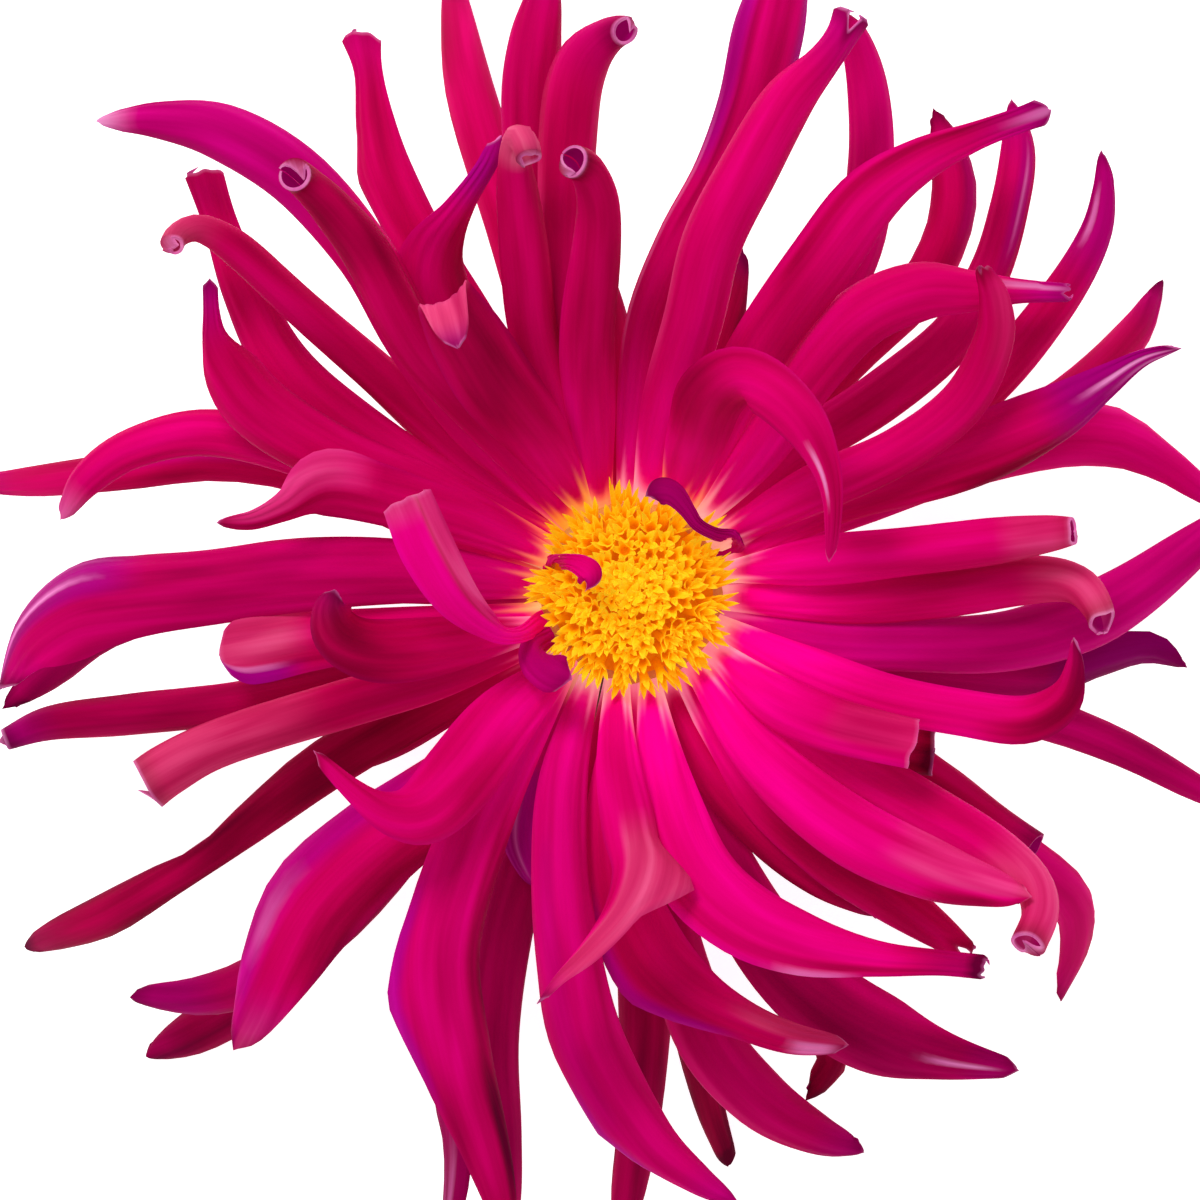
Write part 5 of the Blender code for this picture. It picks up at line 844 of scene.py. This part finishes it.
def pollenGold():
    look = floretFinish
    material, tree, shader = startMaterial("pollen gold floret")
    place = addNode(tree, "Attribute", attribute_name="floretPlace")
    split = addNode(tree, "SeparateXYZ", {0: place.outputs["Vector"]})
    spot = addNode(tree, "TexCoord")
    pollen = addNode(tree, "TexNoise", {"Vector": spot.outputs["Object"], "Scale": 1 / (look["grain"] * mm),
                                        "Detail": 2.0})
    grained = addNode(tree, "Math", {0: pollen.outputs[0], 1: 0.35, 2: split.outputs[0]},
                      operation="MULTIPLY_ADD")
    tone = addNode(tree, "Math", {0: grained.outputs[0], 1: 0.17}, operation="SUBTRACT")
    colour = addNode(tree, "ValToRGB", {0: tone.outputs[0]}, stops=look["gold"])
    bump = addNode(tree, "Bump", {"Strength": 0.3, "Distance": 0.0001, "Height": pollen.outputs[0]})
    tree.links.new(colour.outputs[0], shader.inputs["Base Color"])
    tree.links.new(bump.outputs[0], shader.inputs["Normal"])
    shader.inputs["Roughness"].default_value = look["roughness"]
    shader.inputs["Specular IOR Level"].default_value = 0.08
    shader.inputs["Subsurface Weight"].default_value = 0.3
    shader.inputs["Subsurface Radius"].default_value = (1.0, 0.7, 0.1)
    shader.inputs["Subsurface Scale"].default_value = 0.001
    tree.links.new(colour.outputs[0], shader.inputs["Emission Color"])
    shader.inputs["Emission Strength"].default_value = 0.16     # painted glow: the florets give off a little of their own colour, though they are no lamp
    material.cycles.emission_sampling = "NONE"
    return material


pollenFloret = pollenGold()

disc = {
    "radius": 11.6,
    "base": 44.0,
    "rise": 3.2,
    "count": 165,
    "edge": 1.3,
    "rimLean": 46.0,               # degrees outward at the rim
    "length": (5.2, 6.6),          # mm from bed to throat: rim, middle
    "radii": (0.46, 0.58, 0.9),     # foot, neck, throat
    "lobe": (3.0, 1.9),            # mm lobe length: rim, middle
    "flare": (0.5, 1.1),           # mm lobes spread: rim, middle
    "wall": 0.13,
    "sides": 20,
    "seed": 7,
    "sectors": 6,
    "clearance": 1.5,
}


def underInnerPetal(place):
    for _, _, _, points in innerPetals:
        path, _ = smoothPath(points, 15)
        beside = np.hypot(path[:, 0] - place[0], path[:, 1] - place[1]) < disc["clearance"]
        if np.any(beside & (path[:, 2] - place[2] < 1.6)):
            return True
    return False


def makeFloret(root, axis, length, lobeLength, flare, tone, draw):
    # rings up the outside, over the lobes and down the inside
    sides = disc["sides"]
    theta = np.arange(sides) * 2 * math.pi / sides + draw.uniform(0, 6.28)
    lobe = np.abs(np.cos(2.5 * (np.arange(sides) * 2 * math.pi / sides))) ** 1.8
    lobe = 0.1 + 0.9 * lobe * (1 + 0.25 * np.sin(theta + draw.uniform(0, 6.28)))
    foot, neck, throat = disc["radii"]
    wall = disc["wall"]
    flat = 0 * theta
    # each ring: height, radius and painted light and shade, bright on the lobes and dark at the foot and deep
    # in the mouth
    rings = [(flat, foot + flat, 0.05), (0.5 * length + flat, neck + flat, 0.3),
             (0.86 * length + flat, 0.8 * throat + flat, 0.55), (length + flat, throat + flat, 0.72)]
    for share in (0.35, 0.7, 1.0):
        rings.append((length + lobeLength * share * lobe, throat + flare * share ** 1.4 * lobe,
                      0.72 + 0.28 * share))
    for share in (1.0, 0.7, 0.35):
        rings.append((length + lobeLength * share * lobe * 0.97, throat - wall + flare * share ** 1.4 * lobe,
                      0.72 + 0.2 * share))
    rings += [(length + flat, throat - wall + flat, 0.5), (0.8 * length + flat, 0.62 * throat + flat, 0.12),
              (0.72 * length + flat, 0.1 + flat, 0.05)]
    side = np.cross(axis, (0.3, 0.9, 0.1))
    side /= np.linalg.norm(side)
    other = np.cross(axis, side)
    verts, tones = [], []
    for k, (height, radius, shade) in enumerate(rings):
        ring = (root + height[:, None] * axis + (radius * np.cos(theta))[:, None] * side
                + (radius * np.sin(theta))[:, None] * other)
        verts.append(ring)
        tones.append(np.full(sides, shade + tone))
    faces = []
    for k in range(len(rings) - 1):
        for n in range(sides):
            m = (n + 1) % sides
            faces.append((k * sides + n, k * sides + m, (k + 1) * sides + m, (k + 1) * sides + n))
    faces.append(tuple(reversed(range(sides))))
    last = (len(rings) - 1) * sides
    faces.append(tuple(last + n for n in range(sides)))
    return np.vstack(verts), faces, np.concatenate(tones)


draw = random.Random(disc["seed"])
golden = math.pi * (3 - math.sqrt(5))
sectorVerts = [[] for _ in range(disc["sectors"])]
sectorFaces = [[] for _ in range(disc["sectors"])]
sectorTones = [[] for _ in range(disc["sectors"])]
grown = 0
for number in range(disc["count"]):
    share = math.sqrt((number + 0.5) / disc["count"])
    angle = golden * number
    reach = (disc["radius"] - disc["edge"]) * share
    lean = math.radians(disc["rimLean"] * share ** 2 + draw.uniform(-15, 15))
    swing = angle + draw.uniform(-0.5, 0.5)
    axis = np.array([math.cos(swing) * math.sin(lean), math.sin(swing) * math.sin(lean), math.cos(lean)])
    axis /= np.linalg.norm(axis)
    root = np.array([reach * math.cos(angle), reach * math.sin(angle),
                     disc["base"] + disc["rise"] * (1 - share ** 2) * 0.9 - 0.3])
    rim = share ** 3
    length, lobeLength, flare = (disc[size][1] + (disc[size][0] - disc[size][1]) * rim
                                 for size in ("length", "lobe", "flare"))
    length *= draw.uniform(0.85, 1.08) * 0.8
    lobeLength *= draw.uniform(0.8, 1.15)
    flare *= draw.uniform(0.7, 1.2)
    if underInnerPetal(root + axis * length * 0.6) or underInnerPetal(root + axis * length * 1.2):
        continue
    verts, faces, tones = makeFloret(root, axis, length, lobeLength, flare, draw.uniform(-0.08, 0.08), draw)
    sector = int(angle % (2 * math.pi) / (2 * math.pi) * disc["sectors"])
    base = sum(len(part) for part in sectorVerts[sector])
    sectorFaces[sector] += [tuple(base + v for v in face) for face in faces]
    sectorVerts[sector].append(verts)
    sectorTones[sector].append(tones)
    grown += 1
for sector in range(disc["sectors"]):
    tones = np.concatenate(sectorTones[sector])
    buildPiece(f"florets_{sector + 1}", np.vstack(sectorVerts[sector]), sectorFaces[sector], pollenFloret,
               ["disc_florets"],
               vectors={"floretPlace": np.stack([tones, tones * 0, tones * 0], -1)}, sharp=60)
bedProfile = [(0.3, disc["base"] + disc["rise"]), (disc["radius"] * 0.5, disc["base"] + disc["rise"] * 0.8),
              (disc["radius"] * 0.85, disc["base"] + disc["rise"] * 0.38),
              (disc["radius"], disc["base"] + 0.3),
              (disc["radius"], disc["base"]), (0.3, disc["base"])]
verts, faces = turnedRings(bedProfile, 60)
# the bed gets a dark orange like the floret feet: painted shade between the florets
buildPiece("floret_bed", verts, faces, pollenFloret, ["disc_florets"],
           vectors={"floretPlace": np.full((len(verts), 3), 0.12)})
print(grown, "disc florets grown")

bracts = {
    "count": 7,
    "length": 19.0,
    "width": 6.5,
    "thickness": 1.0,
    "fold": 0.7,
    "rootRadius": 8.2,
    "height": 29.3,
    "droop": 8.0,
    "shape": ((0, 0.3, 0.65, 1), (0.7, 1.0, 0.85, 0.12)),
    "steps": (26, 12),
    "seed": 11,
}


def makeBract(number, angle, length):
    rows, columns = bracts["steps"]
    t = np.linspace(0, 1, rows + 1)[:, None]
    s = np.linspace(-1, 1, columns + 1)[None, :]
    half = np.interp(t, *bracts["shape"]) * bracts["width"] / 2
    half = half * np.sqrt(np.clip((1.02 - t) / 0.12, 0.03, 1))
    reach = bracts["rootRadius"] + length * t + 0 * s
    ribs = 0.12 * np.cos(s * math.pi * 3) * (1 - t)
    height = (bracts["height"] - bracts["droop"] * t * t - bracts["fold"] * np.abs(s) ** 1.5
              + 0.35 * np.sin(5 * t + number) * s * np.abs(s) + ribs)
    top = np.stack([reach, half * s, height], -1)
    thick = bracts["thickness"] * (0.55 + 0.45 * np.exp(-(s / 0.22) ** 2)) * (1 - 0.5 * t) + 0 * t
    under = top - np.stack([0 * thick, 0 * thick, thick], -1)
    count = top.shape[0] * top.shape[1]
    n = np.arange(count).reshape(top.shape[:2])
    a, b, c, d = n[:-1, :-1], n[:-1, 1:], n[1:, 1:], n[1:, :-1]
    faces = np.stack([a, d, c, b], -1).reshape(-1, 4).tolist()
    faces += (np.stack([a, b, c, d], -1).reshape(-1, 4) + count).tolist()
    edge = [*n[0], *n[1:, -1], *n[-1, -2::-1], *n[-2:0:-1, 0]]
    for p, q in zip(edge, edge[1:] + edge[:1]):
        faces.append((p, q, q + count, p + count))
    verts = np.vstack([top.reshape(-1, 3), under.reshape(-1, 3)])
    turned = verts.copy()
    turned[:, 0] = verts[:, 0] * math.cos(angle) - verts[:, 1] * math.sin(angle)
    turned[:, 1] = verts[:, 0] * math.sin(angle) + verts[:, 1] * math.cos(angle)
    buildPiece(f"bract_{number + 1}", turned, faces, greenBract, ["bracts"])


draw = random.Random(bracts["seed"])
for number in range(bracts["count"]):
    angle = 2 * math.pi * (number + draw.uniform(-0.12, 0.12)) / bracts["count"]
    makeBract(number, angle, bracts["length"] * draw.uniform(0.85, 1.1))
cup = {
    "profile": ((0.4, 30.05), (9.14, 30.05), (11.4, 31.1), (11.9, 31.2), (12.2, 30.8), (12.2, 30.4),
                (11.2, 29.5), (9.6, 28.6), (7.0, 28.1), (4.5, 27.95), (0.4, 27.95)),
    "sides": 70,
}
verts, faces = turnedRings(cup["profile"], cup["sides"], lambda angle, k: 1 + 0.01 * math.cos(14 * angle))
buildPiece("bract_cup", verts, faces, greenBract, ["bracts"])
print("bracts grown")

# Dahlia stem: smooth green stalk with shallow ribs, in soft patches of darker and yellower
# green, cut square, with the hollow of the stem open at the cut.
stemFinish = {
    "green": ((0.0, "#4A5A24"), (0.45, "#6E8234"), (0.8, "#93A650"), (1.0, "#7A4A3A")),
    "grain": 2.0,
    "roughness": 0.5,
}
stalkSkin = leafyBract("ribbed stem skin", stemFinish)
stem = {
    "profile": ((1.9, 27.6), (4.3, 27.6), (4.25, 27.2), (3.98, 26.0), (3.9, 25.1), (3.82, 20), (3.78, 12.4),
                (3.86, 6), (3.96, 1.2), (3.9, 0.4), (3.7, 0.0), (2.1, 0.0), (1.9, 0.3), (1.8, 4.0),
                (0.3, 5.0)),
    "sides": 72,
    "ribs": 9,
}
verts, faces = turnedRings(stem["profile"], stem["sides"],
                           lambda angle, k: 1 + (0.018 * math.cos(stem["ribs"] * angle) if 1 < k < 11 else 0))
buildPiece("cut_stem", verts, faces, stalkSkin, ["stem"])
print("stem grown")

# White table, softly matt
floorMaterial, tree, shader = startMaterial("white table")
speckle = addNode(tree, "TexNoise", {"Scale": 40.0, "Detail": 1.0})
shade = addNode(tree, "ValToRGB", {0: speckle.outputs[0]}, stops=((0.0, "#F6F6F6"), (1.0, "#FAFAFA")))
tree.links.new(shade.outputs[0], shader.inputs["Base Color"])
shader.inputs["Roughness"].default_value = 0.8
shader.inputs["Specular IOR Level"].default_value = 0.1
shader.inputs["Emission Color"].default_value = (1, 1, 1, 1)
shader.inputs["Emission Strength"].default_value = 0.75      # lit a little from below
floorMesh = bpy.data.meshes.new("table_top")
half = 5.0
corners = [(-half, -half, 0), (half, -half, 0), (half, half, 0), (-half, half, 0)]
floorMesh.from_pydata(corners, [], [(0, 1, 2, 3)])
floorMesh.materials.append(floorMaterial)
floor = bpy.data.objects.new("table_top", floorMesh)
bpy.context.scene.collection.objects.link(floor)

studio = {
    "fill": 0.62,                   # white surroundings
    "lights": (                    # place in metres, size, watts
        ((-0.9, 1.6, 2.4), 1.0, 46.0),
    ),
}
world = bpy.data.worlds.new("white studio")
bpy.context.scene.world = world
world.use_nodes = True
background = world.node_tree.nodes["Background"]
background.inputs[0].default_value = (1, 1, 1, 1)
background.inputs[1].default_value = studio["fill"]
for number, (place, size, watts) in enumerate(studio["lights"]):
    lamp = bpy.data.lights.new(f"soft_box_{number + 1}", "AREA")
    lamp.energy = watts
    lamp.size = size
    box = bpy.data.objects.new(lamp.name, lamp)
    box.location = place
    box.rotation_euler = Vector(place).to_track_quat("Z", "Y").to_euler()
    box.visible_camera = False
    bpy.context.scene.collection.objects.link(box)

# The photograph: 7 pixels to the millimetre, its middle a little below and left of the axis,
# taken from so far above that hardly anything leans outward.
photo = {
    "pixels": 1200,
    "pixelsPerMm": 7.0,
    "axisPixel": (632, 592),
    "distance": 6.0,
    "sensor": 36.0,
    "level": 0.05,                 # metres: height that the scale holds at
}
wide = photo["pixels"] / photo["pixelsPerMm"] * mm
camera = bpy.data.cameras.new("camera")
camera.sensor_width = photo["sensor"]
camera.lens = photo["sensor"] * (photo["distance"] - photo["level"]) / wide
camera.clip_end = 100
cameraObject = bpy.data.objects.new("camera", camera)
middle = photo["pixels"] / 2
cameraObject.location = (axisX + (middle - photo["axisPixel"][0]) / photo["pixelsPerMm"] * mm,
                         axisY + (photo["axisPixel"][1] - middle) / photo["pixelsPerMm"] * mm,
                         photo["distance"])
bpy.context.scene.collection.objects.link(cameraObject)
bpy.context.scene.camera = cameraObject
bpy.context.scene.view_settings.view_transform = "Standard"
